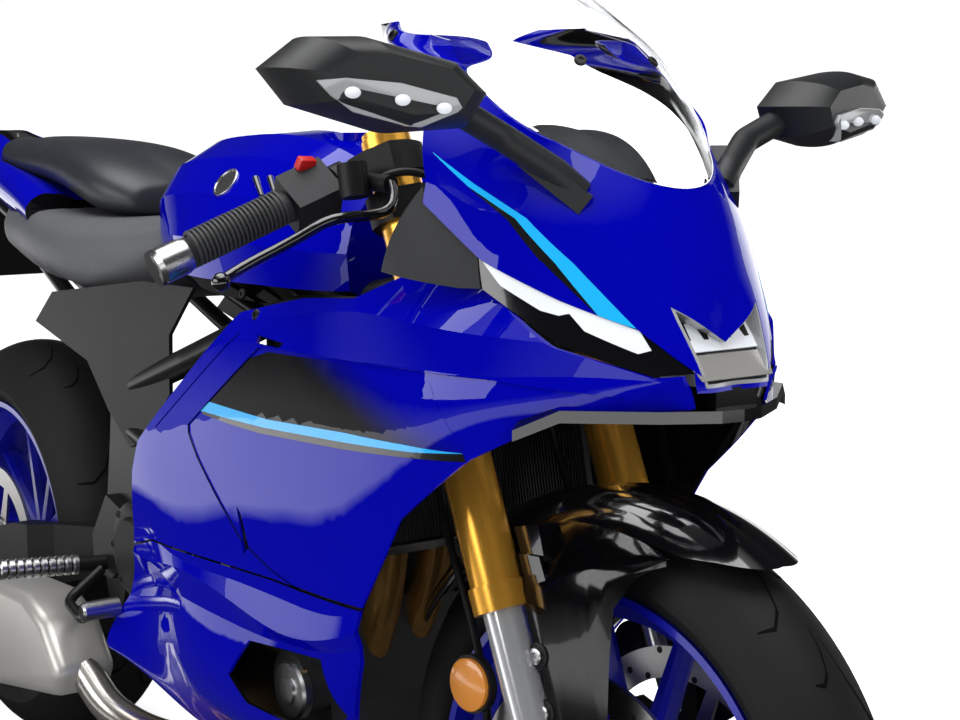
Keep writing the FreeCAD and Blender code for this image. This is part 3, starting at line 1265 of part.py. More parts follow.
swing = plan_face.extrude(V(0, 0, 260)).common(arm_side)
swing = swing.fuse(Part.makeCylinder(20, 236, pivot - V(0, 118, 0), V(0, 1, 0)))
swing = swing.cut(Part.makeCylinder(float(S.SwingPivotRadius), 400, pivot - V(0, 200, 0), V(0, 1, 0)))
swing = swing.cut(Part.makeCylinder(float(S.AxleRadius), 400, REAR_AXLE - V(0, 200, 0), V(0, 1, 0)))
node("swingarm", shaped(swing))
node("rear_shafts", group([
    cylinder(S.SwingPivotRadius, 275, pivot - V(0, 137.5, 0), V(0, 1, 0)),
    cylinder(S.AxleRadius, 308, REAR_AXLE - V(0, 154, 0), V(0, 1, 0))]))
doc.recompute()
node("rear_shock", shaped(max(shock.cut([swing, frame_solid]).Solids, key=lambda s: s.Volume)))
plate = prism([(-1440, 866), (-1470, 866), (-1575, 730), (-1570, 720), (-1556, 722)], -70, 70).cut(tail)
mudguard = max(plate.Solids, key=lambda s: s.Volume)
node("rear_mudguard", shaped(mudguard))

# Checking, placing and writing

doc.recompute()
for obj in doc.Objects:
    if "Invalid" in obj.State or "Error" in obj.State:
        raise RuntimeError("%s failed: %s" % (obj.Label, obj.State))
for label, (obj, frame) in NODES.items():
    if obj.Shape.isNull() or not obj.Shape.isValid() or obj.Shape.Volume <= 0:
        raise RuntimeError("%s has no valid solid" % label)
    obj.Placement = FRAMES[frame].multiply(obj.Placement)
box = FreeCAD.BoundBox()
for obj, frame in NODES.values():
    box.add(obj.Shape.optimalBoundingBox(False, False))
shift = FreeCAD.Placement(V(-box.Center.x, -box.Center.y, -box.ZMin), FreeCAD.Rotation())
os.makedirs("parts", exist_ok=True)
for label, (obj, frame) in NODES.items():
    obj.Placement = shift.multiply(obj.Placement)
    obj.Shape.exportStep("parts/%s.step" % label)

# Joint places in the finished frame, in millimetres
WORLD = shift.multiply(PARK)
WORLD_STEERED = shift.multiply(STEERED)


def say(name, vector):
    print(name, "%.6f %.6f %.6f" % tuple(vector))


say("steer_point", WORLD.multVec(STEER_POINT))
say("steer_axis", WORLD.Rotation.multVec(STEER_DIRECTION))
say("front_axle_point", WORLD_STEERED.multVec(AXLE))
say("front_axle_axis", WORLD_STEERED.Rotation.multVec(V(0, 1, 0)))
say("rear_axle_point", WORLD.multVec(REAR_AXLE))
say("rear_axle_axis", WORLD.Rotation.multVec(V(0, 1, 0)))
say("stand_point", WORLD.multVec(stand_home))
say("stand_axis", WORLD.Rotation.multVec(V(0, 1, 0)))
say("bike_origin", WORLD.multVec(V(0, 0, 0)))
say("bike_x", WORLD.Rotation.multVec(V(1, 0, 0)))
say("bike_y", WORLD.Rotation.multVec(V(0, 1, 0)))
say("bike_z", WORLD.Rotation.multVec(V(0, 0, 1)))
print("%d sub-parts, %.1f x %.1f x %.1f mm" % (len(NODES), box.XLength, box.YLength, box.ZLength))
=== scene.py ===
import bmesh
import bpy
import json
import math
from mathutils import Matrix, Vector


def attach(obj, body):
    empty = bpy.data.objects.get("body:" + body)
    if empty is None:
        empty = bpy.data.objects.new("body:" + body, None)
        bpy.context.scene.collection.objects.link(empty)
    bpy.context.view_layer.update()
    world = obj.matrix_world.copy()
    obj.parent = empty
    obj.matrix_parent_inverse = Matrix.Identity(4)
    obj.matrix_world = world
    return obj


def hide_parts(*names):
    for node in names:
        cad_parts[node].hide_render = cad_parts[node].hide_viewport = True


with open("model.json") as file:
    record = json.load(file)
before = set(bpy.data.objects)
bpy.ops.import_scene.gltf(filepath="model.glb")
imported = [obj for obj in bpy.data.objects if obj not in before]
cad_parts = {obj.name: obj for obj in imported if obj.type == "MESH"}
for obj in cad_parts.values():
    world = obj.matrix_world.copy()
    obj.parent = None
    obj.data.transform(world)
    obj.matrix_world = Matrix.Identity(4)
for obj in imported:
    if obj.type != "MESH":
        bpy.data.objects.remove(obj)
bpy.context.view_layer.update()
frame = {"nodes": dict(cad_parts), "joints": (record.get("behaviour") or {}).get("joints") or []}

NODES = frame["nodes"]
JOINTS = {joint["name"]: joint for joint in frame["joints"]}

# Driving dimensions in millimetres and degrees, and the right and left side as signs

WHEELBASE = 1395
FRONT_RADIUS = 300
REAR_RADIUS = 315
RAKE = 23.67
SIDES = (-1, 1)
MM = Matrix.Scale(0.001, 4)

# The machine's own axes, from its joints: forward, left and up while it leans

rear_axle = Vector(JOINTS["rear_wheel_spin"]["pos_m"])
left = Vector(JOINTS["rear_wheel_spin"]["axis"]).normalized()
head_axis = Vector(JOINTS["steering"]["axis"]).normalized()
rake = math.radians(RAKE)
across = left.cross(head_axis)
forward = across * math.cos(rake) - head_axis * math.sin(rake)
upward = across * math.sin(rake) + head_axis * math.cos(rake)
BIKE = Matrix((forward, left, upward)).transposed().to_4x4()
BIKE.translation = rear_axle + forward * (WHEELBASE / 1000) - upward * (REAR_RADIUS / 1000)

# The fork's axes: ahead of the legs, across them and along them, from the steered front axle

fork_left = Vector(JOINTS["front_wheel_spin"]["axis"]).normalized()
FORK = Matrix((fork_left.cross(head_axis), fork_left, head_axis)).transposed().to_4x4()
FORK.translation = Vector(JOINTS["front_wheel_spin"]["pos_m"])


def on_bike(x, y, z):
    """A point from millimetres ahead of the front axle, left of the middle and above the ground."""
    return BIKE @ MM @ Vector((x, y, z))


# Studio: camera, floor, world and lamps

CAMERA_SENSOR = 36
CAMERA_LENS = 67.38
CAMERA_PLACE = (1.2709, -1.12868, 0.97010)
CAMERA_TURN, CAMERA_DIP, CAMERA_ROLL = 53.38, 7.565, -0.135


def make_camera():
    """The photograph's camera: its place in metres and its turns in degrees of the machine's axes."""
    data = bpy.data.cameras.new("Camera")
    data.sensor_width = CAMERA_SENSOR
    data.lens = CAMERA_LENS
    camera = bpy.data.objects.new("Camera", data)
    bpy.context.scene.collection.objects.link(camera)
    turn, dip, roll = (math.radians(angle) for angle in (CAMERA_TURN, CAMERA_DIP, CAMERA_ROLL))
    sight = Vector((-math.sin(turn) * math.cos(dip), math.cos(turn) * math.cos(dip), -math.sin(dip)))
    right = sight.cross(Vector((0, 0, 1))).normalized()
    top = right.cross(sight)
    side = right * math.cos(roll) + top * math.sin(roll)
    crown = top * math.cos(roll) - right * math.sin(roll)
    placed = Matrix((side, crown, -sight)).transposed().to_4x4()
    placed.translation = Vector(CAMERA_PLACE)
    camera.matrix_world = BIKE @ placed
    bpy.context.scene.camera = camera


def maths(nodes, links, operation, first, second=None, third=None):
    """A maths node's result; each value is a socket or a number."""
    node = nodes.new("ShaderNodeMath")
    node.operation = operation
    for place, value in enumerate((first, second, third)):
        if isinstance(value, (int, float)):
            node.inputs[place].default_value = value
        elif value is not None:
            links.new(value, node.inputs[place])
    return node.outputs[0]


def vector_maths(nodes, links, operation, *sockets):
    """A vector maths node that takes these sockets."""
    node = nodes.new("ShaderNodeVectorMath")
    node.operation = operation
    for place, socket in enumerate(sockets):
        links.new(socket, node.inputs[place])
    return node


def ray_kind(nodes, links, *rays):
    """One where a ray is of one of these kinds, else zero."""
    path = nodes.new("ShaderNodeLightPath")
    found = path.outputs[rays[0]]
    for ray in rays[1:]:
        found = maths(nodes, links, "MAXIMUM", found, path.outputs[ray])
    return found


def sky_ramp(nodes, links, stops, strength):
    """A background whose brightness follows the height of the direction, -1 below to 1 above."""
    direction = nodes.new("ShaderNodeTexCoord")
    split = nodes.new("ShaderNodeSeparateXYZ")
    height = nodes.new("ShaderNodeMapRange")
    height.inputs["From Min"].default_value = -1
    ramp = nodes.new("ShaderNodeValToRGB")
    while len(ramp.color_ramp.elements) < len(stops):
        ramp.color_ramp.elements.new(0.5)
    for stop, (place, level) in zip(ramp.color_ramp.elements, stops):
        stop.position = (place + 1) / 2
        stop.color = (level, level, level * 1.02, 1)
    links.new(direction.outputs["Generated"], split.inputs[0])
    links.new(split.outputs["Z"], height.inputs["Value"])
    links.new(height.outputs[0], ramp.inputs["Fac"])
    background = nodes.new("ShaderNodeBackground")
    background.inputs["Strength"].default_value = strength
    links.new(ramp.outputs["Color"], background.inputs["Color"])
    return background


# The sky's brightness by height: the one that lights the machine, and the one that its gloss mirrors

SOFT_SKY = [(-1.0, 0.5), (0.0, 0.45), (1.0, 1.0)]
MIRRORED_SKY = [(-1.0, 0.4), (0.02, 0.4), (0.14, 0.02), (0.72, 0.02), (0.92, 0.9)]


def make_world():
    """White to the camera, a soft sky for light and a banded one in gloss."""
    world = bpy.data.worlds.new("Studio")
    world.use_nodes = True
    bpy.context.scene.world = world
    nodes, links = world.node_tree.nodes, world.node_tree.links
    nodes.clear()
    white = nodes.new("ShaderNodeBackground")
    white.inputs["Color"].default_value = (1, 1, 1, 1)
    soft = sky_ramp(nodes, links, SOFT_SKY, strength=0.6)
    mirrored = sky_ramp(nodes, links, MIRRORED_SKY, strength=1.0)
    for_gloss = nodes.new("ShaderNodeMixShader")
    for_sight = nodes.new("ShaderNodeMixShader")
    out = nodes.new("ShaderNodeOutputWorld")
    links.new(ray_kind(nodes, links, "Is Glossy Ray"), for_gloss.inputs["Fac"])
    links.new(soft.outputs[0], for_gloss.inputs[1])
    links.new(mirrored.outputs[0], for_gloss.inputs[2])
    links.new(ray_kind(nodes, links, "Is Camera Ray", "Is Transmission Ray"), for_sight.inputs["Fac"])
    links.new(for_gloss.outputs[0], for_sight.inputs[1])
    links.new(white.outputs[0], for_sight.inputs[2])
    links.new(for_sight.outputs[0], out.inputs["Surface"])


# The floor: how bright it is in gloss near the machine and far off, and its own glow and greys

DIM_WITHIN, BRIGHT_BEYOND = 3.3, 3.9
DIM_LEVEL, BRIGHT_LEVEL = 0.03, 2.4
FLOOR_GLOW = 0.72
FLOOR_GREY, FLOOR_GREY_IN_GLOSS = 0.8, 0.01
FLOOR_HALF = 60


def floor_finish():
    """Pale grey that lights the machine, white to the camera, and dim beside the machine in its gloss."""
    material = bpy.data.materials.new("Studio floor")
    material.use_nodes = True
    nodes, links = material.node_tree.nodes, material.node_tree.links
    shader = nodes["Principled BSDF"]
    shader.inputs["Roughness"].default_value = 0.8
    shader.inputs["Specular IOR Level"].default_value = 0.1
    shader.inputs["Emission Color"].default_value = (1, 1, 1, 1)
    place = nodes.new("ShaderNodeTexCoord")
    reach = vector_maths(nodes, links, "LENGTH", place.outputs["Object"])
    beyond = nodes.new("ShaderNodeMapRange")
    for label, value in (("From Min", DIM_WITHIN), ("From Max", BRIGHT_BEYOND),
                         ("To Min", DIM_LEVEL), ("To Max", BRIGHT_LEVEL)):
        beyond.inputs[label].default_value = value
    links.new(reach.outputs["Value"], beyond.inputs["Value"])
    in_gloss = ray_kind(nodes, links, "Is Glossy Ray")
    direct = ray_kind(nodes, links, "Is Camera Ray", "Is Transmission Ray")
    gloss = maths(nodes, links, "MULTIPLY", in_gloss, beyond.outputs[0])
    seen = maths(nodes, links, "ADD", gloss, direct)
    links.new(maths(nodes, links, "MULTIPLY", seen, FLOOR_GLOW), shader.inputs["Emission Strength"])
    links.new(maths(nodes, links, "MULTIPLY_ADD", in_gloss, FLOOR_GREY_IN_GLOSS - FLOOR_GREY, FLOOR_GREY),
              shader.inputs["Base Color"])
    return material


def make_floor():
    """One wide square on the ground."""
    form = bmesh.new()
    bmesh.ops.create_grid(form, x_segments=1, y_segments=1, size=FLOOR_HALF)
    mesh = bpy.data.meshes.new("Floor")
    form.to_mesh(mesh)
    form.free()
    floor = bpy.data.objects.new("Floor", mesh)
    bpy.context.scene.collection.objects.link(floor)
    floor.data.materials.append(floor_finish())


def softbox(name, place, aim, width, height, watts, mirrored=True):
    """A lamp from a place to an aim in millimetres; its width and height are in metres."""
    data = bpy.data.lights.new(name, "AREA")
    data.shape = "RECTANGLE"
    data.size = width
    data.size_y = height
    data.energy = watts
    lamp = bpy.data.objects.new(name, data)
    lamp.visible_glossy = mirrored
    bpy.context.scene.collection.objects.link(lamp)
    lamp.location = on_bike(*place)
    lamp.rotation_mode = "QUATERNION"
    lamp.rotation_quaternion = (on_bike(*aim) - lamp.location).to_track_quat("-Z", "Y")


bpy.context.scene.view_settings.view_transform = "Standard"
make_camera()
make_world()
make_floor()
softbox("Overhead softbox", (-400, -300, 3200), aim=(-400, 0, 600), width=3.4, height=2.2, watts=80)
softbox("Front softbox", (2600, -600, 1900), aim=(0, 0, 700), width=1.6, height=1.6, watts=30,
        mirrored=False)
softbox("Right softbox", (-900, -3000, 1500), aim=(-400, 0, 600), width=3.0, height=1.2, watts=42)


# Shared effects

def effect(name, ins, outs):
    """An empty node group with named inputs and outputs."""
    group = bpy.data.node_groups.new(name, "ShaderNodeTree")
    for label, kind, value in ins:
        group.interface.new_socket(name=label, in_out="INPUT", socket_type=kind).default_value = value
    for label, kind in outs:
        group.interface.new_socket(name=label, in_out="OUTPUT", socket_type=kind)
    return group, group.nodes.new("NodeGroupInput"), group.nodes.new("NodeGroupOutput")


def make_surface_grain():
    """Fine bumps and a slow change of colour over a surface."""
    group, entry, leave = effect(
        "Surface grain",
        [("Colour", "NodeSocketColor", (0.5, 0.5, 0.5, 1)), ("Shade", "NodeSocketFloat", 0.1),
         ("Roughness", "NodeSocketFloat", 0.4), ("Spread", "NodeSocketFloat", 0.05),
         ("Grain size", "NodeSocketFloat", 900.0), ("Grain height", "NodeSocketFloat", 0.1)],
        [("Colour", "NodeSocketColor"), ("Roughness", "NodeSocketFloat"), ("Normal", "NodeSocketVector")])
    nodes, links = group.nodes, group.links
    where = nodes.new("ShaderNodeTexCoord")
    broad = nodes.new("ShaderNodeTexNoise")
    broad.inputs["Scale"].default_value = 14
    broad.inputs["Detail"].default_value = 4
    links.new(where.outputs["Object"], broad.inputs["Vector"])
    fine = nodes.new("ShaderNodeTexNoise")
    fine.inputs["Detail"].default_value = 3
    links.new(where.outputs["Object"], fine.inputs["Vector"])
    links.new(entry.outputs["Grain size"], fine.inputs["Scale"])
    centred = maths(nodes, links, "SUBTRACT", broad.outputs["Fac"], 0.5)
    tint = vector_maths(nodes, links, "SCALE", entry.outputs["Colour"])
    lightness = maths(nodes, links, "MULTIPLY_ADD", centred, entry.outputs["Shade"], 1.0)
    links.new(lightness, tint.inputs["Scale"])
    links.new(tint.outputs[0], leave.inputs["Colour"])
    uneven = maths(nodes, links, "MULTIPLY_ADD", centred, entry.outputs["Spread"],
                   entry.outputs["Roughness"])
    links.new(uneven, leave.inputs["Roughness"])
    bump = nodes.new("ShaderNodeBump")
    bump.inputs["Distance"].default_value = 0.0006
    links.new(entry.outputs["Grain height"], bump.inputs["Strength"])
    links.new(fine.outputs["Fac"], bump.inputs["Height"])
    links.new(bump.outputs["Normal"], leave.inputs["Normal"])
    return group


# A face looks inwards where its normal, times its distance from the middle in metres, is below this

INWARD = -0.02


def make_inner_face():
    """One on the faces of a shell that look towards the middle of the machine, zero outside."""
    group, entry, leave = effect("Inner face", [("Middle", "NodeSocketVector", (0, 0, 0))],
                                 [("Mask", "NodeSocketFloat")])
    nodes, links = group.nodes, group.links
    where = nodes.new("ShaderNodeTexCoord")
    outward = vector_maths(nodes, links, "SUBTRACT", where.outputs["Object"], entry.outputs["Middle"])
    facing = vector_maths(nodes, links, "DOT_PRODUCT", outward.outputs[0], where.outputs["Normal"])
    links.new(maths(nodes, links, "LESS_THAN", facing.outputs["Value"], INWARD), leave.inputs["Mask"])
    return group


def make_place_split():
    """Zero behind a line on the machine and one ahead of it, with a soft edge."""
    group, entry, leave = effect(
        "Place split",
        [("Start", "NodeSocketVector", (0, 0, 0)), ("Run", "NodeSocketVector", (1, 0, 0)),
         ("Length", "NodeSocketFloat", 0.1)], [("Mask", "NodeSocketFloat")])
    nodes, links = group.nodes, group.links
    where = nodes.new("ShaderNodeTexCoord")
    gone = vector_maths(nodes, links, "SUBTRACT", where.outputs["Object"], entry.outputs["Start"])
    along = vector_maths(nodes, links, "DOT_PRODUCT", gone.outputs[0], entry.outputs["Run"])
    share = nodes.new("ShaderNodeMapRange")
    share.interpolation_type = "SMOOTHSTEP"
    links.new(along.outputs["Value"], share.inputs["Value"])
    links.new(entry.outputs["Length"], share.inputs["From Max"])
    links.new(share.outputs[0], leave.inputs["Mask"])
    return group


GRAIN = make_surface_grain()
INNER = make_inner_face()
SPLIT = make_place_split()


def finish(name, colour, roughness, shade=0.12, spread=0.06, grain=900, height=0.1, **sockets):
    """A material with the shared grain; the other values go on the shader's own sockets."""
    material = bpy.data.materials.new(name)
    material.use_nodes = True
    nodes, links = material.node_tree.nodes, material.node_tree.links
    shader = nodes["Principled BSDF"]
    grained = nodes.new("ShaderNodeGroup")
    grained.node_tree = GRAIN
    grained.name = "Grain"
    for label, value in (("Colour", (*colour, 1)), ("Shade", shade), ("Roughness", roughness),
                         ("Spread", spread), ("Grain size", grain), ("Grain height", height)):
        grained.inputs[label].default_value = value
    links.new(grained.outputs["Colour"], shader.inputs["Base Color"])
    links.new(grained.outputs["Roughness"], shader.inputs["Roughness"])
    links.new(grained.outputs["Normal"], shader.inputs["Normal"])
    for label, value in sockets.items():
        shader.inputs[label.replace("_", " ")].default_value = value
    return material


def recolour(material, group, other, **values):
    """Mix another colour into a finish where the group's mask is one."""
    nodes, links = material.node_tree.nodes, material.node_tree.links
    mask = nodes.new("ShaderNodeGroup")
    mask.node_tree = group
    for label, value in values.items():
        mask.inputs[label].default_value = value
    mixed = nodes.new("ShaderNodeMix")
    mixed.data_type = "RGBA"
    base = nodes["Principled BSDF"].inputs["Base Color"]
    links.new(mask.outputs["Mask"], mixed.inputs["Factor"])
    links.new(base.links[0].from_socket, mixed.inputs["A"])
    mixed.inputs["B"].default_value = (*other, 1)
    links.new(mixed.outputs["Result"], base)
    return material


# The lacquer's colours and its other values; its panels are black on the side towards the middle

BLUE = (0.0006, 0.001, 0.34)
BLACK = (0.004, 0.004, 0.005)
LACQUER = dict(roughness=0.3, shade=0.05, spread=0.02, height=0.005, Specular_IOR_Level=0.0,
               Coat_Weight=1.0, Coat_Roughness=0.015, Coat_IOR=1.42)
MIDDLE = on_bike(-450, 0, 640)
FINISHES = {
    "blue lacquer": recolour(finish("Blue lacquer", BLUE, **LACQUER), INNER, BLACK, Middle=MIDDLE),
    "black film": finish("Black film", BLACK, 0.25, height=0.005, Coat_Weight=1.0, Coat_Roughness=0.015),
    "cyan film": finish("Cyan film", (0.003, 0.42, 0.90), 0.3, height=0.005, Coat_Weight=1.0,
                        Coat_Roughness=0.02),
    "faded film": recolour(finish("Faded film", BLACK, **LACQUER), SPLIT, BLUE, Start=on_bike(0, 0, 618),
                           Run=forward * 0.366 + upward * 0.93, Length=0.06),
    "blue wheel paint": finish("Blue wheel paint", (0.002, 0.004, 0.32), 0.32, height=0.05,
                               Coat_Weight=0.6, Coat_Roughness=0.1),
    "tyre rubber": finish("Tyre rubber", (0.006, 0.006, 0.0063), 0.65, grain=700, height=0.25,
                          Specular_IOR_Level=0.3),
    # Painted shade: a darker rubber for the tyres' grooves
    "painted groove shade": finish("Painted groove shade", (0.0015, 0.0015, 0.0015), 0.8, Specular_IOR_Level=0.1),
    "ground steel": finish("Ground steel", (0.50, 0.49, 0.48), 0.3, Metallic=1.0),
    "oiled chain": finish("Oiled chain", (0.16, 0.14, 0.11), 0.38, Metallic=0.9),
    "gold anodised": finish("Gold anodised", (1.0, 0.50, 0.07), 0.25, height=0.02, Metallic=0.8),
    "hard chrome": finish("Hard chrome", (0.80, 0.81, 0.83), 0.16, height=0.01, Metallic=0.75),
    "black casting": finish("Black casting", (0.009, 0.009, 0.010), 0.42, grain=1400, height=0.2,
                            Specular_IOR_Level=0.2),
    "grip rubber": finish("Grip rubber", (0.035, 0.036, 0.038), 0.6, grain=1800, height=0.3),
    "satin black": finish("Satin black", (0.009, 0.009, 0.010), 0.35, Specular_IOR_Level=0.25),
    "gloss black": finish("Gloss black", (0.003, 0.003, 0.004), 0.12, height=0.005, Coat_Weight=1.0,
                          Coat_Roughness=0.03),
    "textured plastic": finish("Textured plastic", (0.020, 0.021, 0.023), 0.5, grain=2200, height=0.35,
                               Specular_IOR_Level=0.3),
    "mirror plastic": finish("Mirror plastic", (0.016, 0.017, 0.018), 0.38, grain=2200, height=0.3,
                             Specular_IOR_Level=0.35),
    "engine casting": finish("Engine casting", (0.045, 0.046, 0.048), 0.38, grain=1500, height=0.2,
                             Metallic=0.5),
    "brushed silver": finish("Brushed silver", (0.52, 0.51, 0.48), 0.36, Metallic=0.6),
    "bare alloy": finish("Bare alloy", (0.62, 0.62, 0.63), 0.28, Metallic=1.0),
    "heat bronze": recolour(finish("Heat bronze", (0.55, 0.30, 0.09), 0.22, shade=0.6, Metallic=0.9), SPLIT,
                            (0.56, 0.54, 0.50), Start=on_bike(-700, 0, 0), Run=-forward, Length=0.08),
    "seat vinyl": finish("Saddle vinyl", (0.085, 0.088, 0.094), 0.5, grain=1600, height=0.45),
    "seat shell": finish("Saddle shell", (0.020, 0.023, 0.028), 0.4, grain=1600, height=0.2),
    "clear screen": finish("Clear screen", (0.72, 0.73, 0.74), 0.02, height=0.0, Transmission_Weight=1.0,
                           IOR=1.03),
    "lamp white": finish("Lamp white", (0.75, 0.78, 0.82), 0.25, height=0.02,
                         Emission_Color=(0.9, 0.95, 1, 1), Emission_Strength=0.1),
    "lamp glass": finish("Lamp glass", (0.34, 0.35, 0.36), 0.12, height=0.0, Coat_Weight=1.0),
    "red lens": finish("Red lens", (0.5, 0.004, 0.004), 0.1, height=0.0, Coat_Weight=1.0),
    "red switch": finish("Red switch", (0.55, 0.012, 0.01), 0.4),
    "amber reflector": finish("Amber reflector", (0.60, 0.22, 0.03), 0.25, grain=500, height=0.6,
                              Coat_Weight=1.0),
}


def by_member(groups):
    """The name of the group that each member is in."""
    return {member: name for name, members in groups.items() for member in members}


# The record's slot for the new pieces of each finish

SLOTS = by_member({
    "paint_blue": ["cyan film"],
    "gloss_black": ["black film", "faded film", "gloss black"],
    "tyre_rubber": ["painted groove shade"],
    "cast_black": ["black casting"],
    "grip_rubber": ["grip rubber"],
    "frame_black": ["satin black"],
    "plastic_black": ["textured plastic"],
    "engine_grey": ["engine casting"],
    "exhaust_steel": ["brushed silver", "heat bronze"],
    "bare_alloy": ["bare alloy"],
    "seat_cover": ["seat vinyl", "seat shell"],
    "clear_lens": ["lamp glass", "lamp white"],
    "red_lens": ["red switch", "amber reflector"],
})

# The CAD nodes that wear each finish; the others are satin black

WORN = by_member({
    "blue lacquer": ["upper_cowl", "side_fairings", "belly_fairings", "fuel_tank", "tail_fairing"],
    "blue wheel paint": ["front_rim", "rear_rim"],
    "tyre rubber": ["front_tyre", "rear_tyre"],
    "ground steel": ["front_discs", "rear_disc", "rear_sprocket"],
    "oiled chain": ["chain"],
    "gold anodised": ["fork_outer_tubes"],
    "hard chrome": ["fork_inner_tubes", "front_axle", "rear_shafts"],
    "heat bronze": ["exhaust"],
    "engine casting": ["engine", "engine_covers"],
    "black casting": ["triple_clamps", "handlebars", "fork_feet", "front_calipers", "swingarm"],
    "gloss black": ["front_fender", "nose_trim", "levers"],
    "grip rubber": ["grips"],
    "seat vinyl": ["rider_seat"],
    "seat shell": ["pillion_seat"],
    "clear screen": ["windscreen"],
    "lamp white": ["position_lights"],
    "lamp glass": ["headlight"],
    "red lens": ["tail_light"],
    "textured plastic": ["inner_panels", "switch_boxes"],
    "mirror plastic": ["mirrors"],
})
for name, node in NODES.items():
    node.data.materials.clear()
    node.data.materials.append(FINISHES[WORN.get(name, "satin black")])


# Building with operators, in millimetres of the machine or of the fork

def hand_over(piece, look, body, replaces=()):
    """Give a piece its finish, the body it rides on and the nodes it stands for."""
    piece.data.materials.append(FINISHES[look])
    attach(piece, body)
    if replaces:
        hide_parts(*replaces)


def settle(name, form, look, body, space=BIKE, crease=38, replaces=(), turn_out=True):
    """Make a form a piece: its faces turned out, if asked, and edges sharper than the crease kept."""
    if turn_out:
        bmesh.ops.recalc_face_normals(form, faces=form.faces)
    bmesh.ops.transform(form, matrix=space @ MM, verts=form.verts)
    for face in form.faces:
        face.smooth = True
    for edge in form.edges:
        edge.smooth = edge.calc_face_angle(0.0) < math.radians(crease)
    mesh = bpy.data.meshes.new(name)
    form.to_mesh(mesh)
    form.free()
    piece = bpy.data.objects.new(name, mesh)
    bpy.context.scene.collection.objects.link(piece)
    hand_over(piece, look, body, replaces)


def pointing(start, end):
    """A matrix at the start whose Z looks at the end."""
    run = Vector(end) - Vector(start)
    return Matrix.Translation(Vector(start)) @ run.to_track_quat("Z", "Y").to_matrix().to_4x4()


def add_box(form, centre, size, turn=Matrix()):
    """A box of this size about its centre."""
    matrix = Matrix.Translation(Vector(centre)) @ turn @ Matrix.Diagonal((*size, 1))
    bmesh.ops.create_cube(form, size=1, matrix=matrix)


def add_rod(form, start, end, radius, tip=None, sides=24):
    """A round rod between two points, with another radius at its tip where one is given."""
    length = (Vector(end) - Vector(start)).length
    bmesh.ops.create_cone(form, cap_ends=True, segments=sides, radius1=radius,
                          radius2=radius if tip is None else tip, depth=length,
                          matrix=pointing(start, end) @ Matrix.Translation((0, 0, length / 2)))


def add_ball(form, centre, radius, stretch):
    """A ball that is stretched along the machine's axes."""
    matrix = Matrix.Translation(Vector(centre)) @ Matrix.Diagonal((*stretch, 1))
    bmesh.ops.create_uvsphere(form, u_segments=20, v_segments=10, radius=radius, matrix=matrix)


def add_lathe(form, start, towards, profile, sides=32):
    """A turned shape from start towards a point: profile is (distance along, radius), a closed line."""
    place = pointing(start, towards)
    corners = [form.verts.new(place @ Vector((radius, 0, along))) for along, radius in profile]
    edges = [form.edges.new((corners[j - 1], corners[j])) for j in range(len(corners))
             if profile[j - 1][1] or profile[j][1]]
    bmesh.ops.spin(form, geom=corners + edges, cent=start, axis=Vector(towards) - Vector(start),
                   angle=math.tau, steps=sides, use_merge=True)
    bmesh.ops.remove_doubles(form, verts=form.verts, dist=0.001)


def add_plate(form, corners, depth):
    """A prism: a flat outline pushed along a vector."""
    front = form.faces.new([form.verts.new(corner) for corner in corners])
    pushed = bmesh.ops.extrude_face_region(form, geom=[front])["geom"]
    verts = [item for item in pushed if isinstance(item, bmesh.types.BMVert)]
    bmesh.ops.translate(form, vec=Vector(depth), verts=verts)


# Edges sharper than this get a bevel

SHARP = math.radians(30)


def soften(form, width, segments=2):
    """Bevel the sharp edges of everything in the form."""
    sharp = [edge for edge in form.edges if edge.calc_face_angle(0.0) > SHARP]
    bmesh.ops.bevel(form, geom=sharp, offset=width, offset_type="OFFSET", segments=segments, profile=0.5,
                    affect="EDGES", material=-1, clamp_overlap=True)


def both_sides(form):
    """Add the mirror image of the whole form on the other side of the middle."""
    twin = bmesh.ops.duplicate(form, geom=form.verts[:] + form.edges[:] + form.faces[:])["geom"]
    verts = [item for item in twin if isinstance(item, bmesh.types.BMVert)]
    faces = [item for item in twin if isinstance(item, bmesh.types.BMFace)]
    bmesh.ops.scale(form, vec=(1, -1, 1), verts=verts)
    bmesh.ops.reverse_faces(form, faces=faces)


def node_form(node):
    """A merged copy of a node's mesh in millimetres of the machine."""
    form = bmesh.new()
    form.from_mesh(NODES[node].data)
    bmesh.ops.transform(form, matrix=(BIKE @ MM).inverted(), verts=form.verts)
    bmesh.ops.remove_doubles(form, verts=form.verts, dist=0.02)
    return form


# Films: stripes and lacquer fields that follow a panel, a fraction of a millimetre proud of it

def strip(upper, lower):
    """Four-sided fields between two lines of (x, z)."""
    return [[a, b, d, c] for a, b, c, d in zip(upper, upper[1:], lower, lower[1:])]


def cut_field(form, outline):
    """Keep what lies inside a convex outline of (x, z)."""
    area = sum(a[0] * b[1] - b[0] * a[1] for a, b in zip(outline, outline[1:] + outline[:1]))
    turn = 1 if area > 0 else -1
    for (x0, z0), (x1, z1) in zip(outline, outline[1:] + outline[:1]):
        if math.hypot(x1 - x0, z1 - z0) > 0.05:
            bmesh.ops.bisect_plane(form, geom=form.verts[:] + form.edges[:] + form.faces[:],
                                   plane_co=(x0, 0, z0), plane_no=(turn * (z1 - z0), 0, -turn * (x1 - x0)),
                                   clear_outer=True)


# A film follows only faces that are at least this far from the middle and look well away from it

LEAST_WIDTH = 20
LEAST_FACING = 8


def outer_skin(node):
    """A mesh of the node's faces that look away from the middle of the machine."""
    form = node_form(node)
    for face in form.faces[:]:
        width = face.calc_center_median().y
        if face.normal.y * width < LEAST_FACING or abs(width) < LEAST_WIDTH:
            form.faces.remove(face)
    skin = bpy.data.meshes.new("Outer skin")
    form.to_mesh(skin)
    form.free()
    return skin


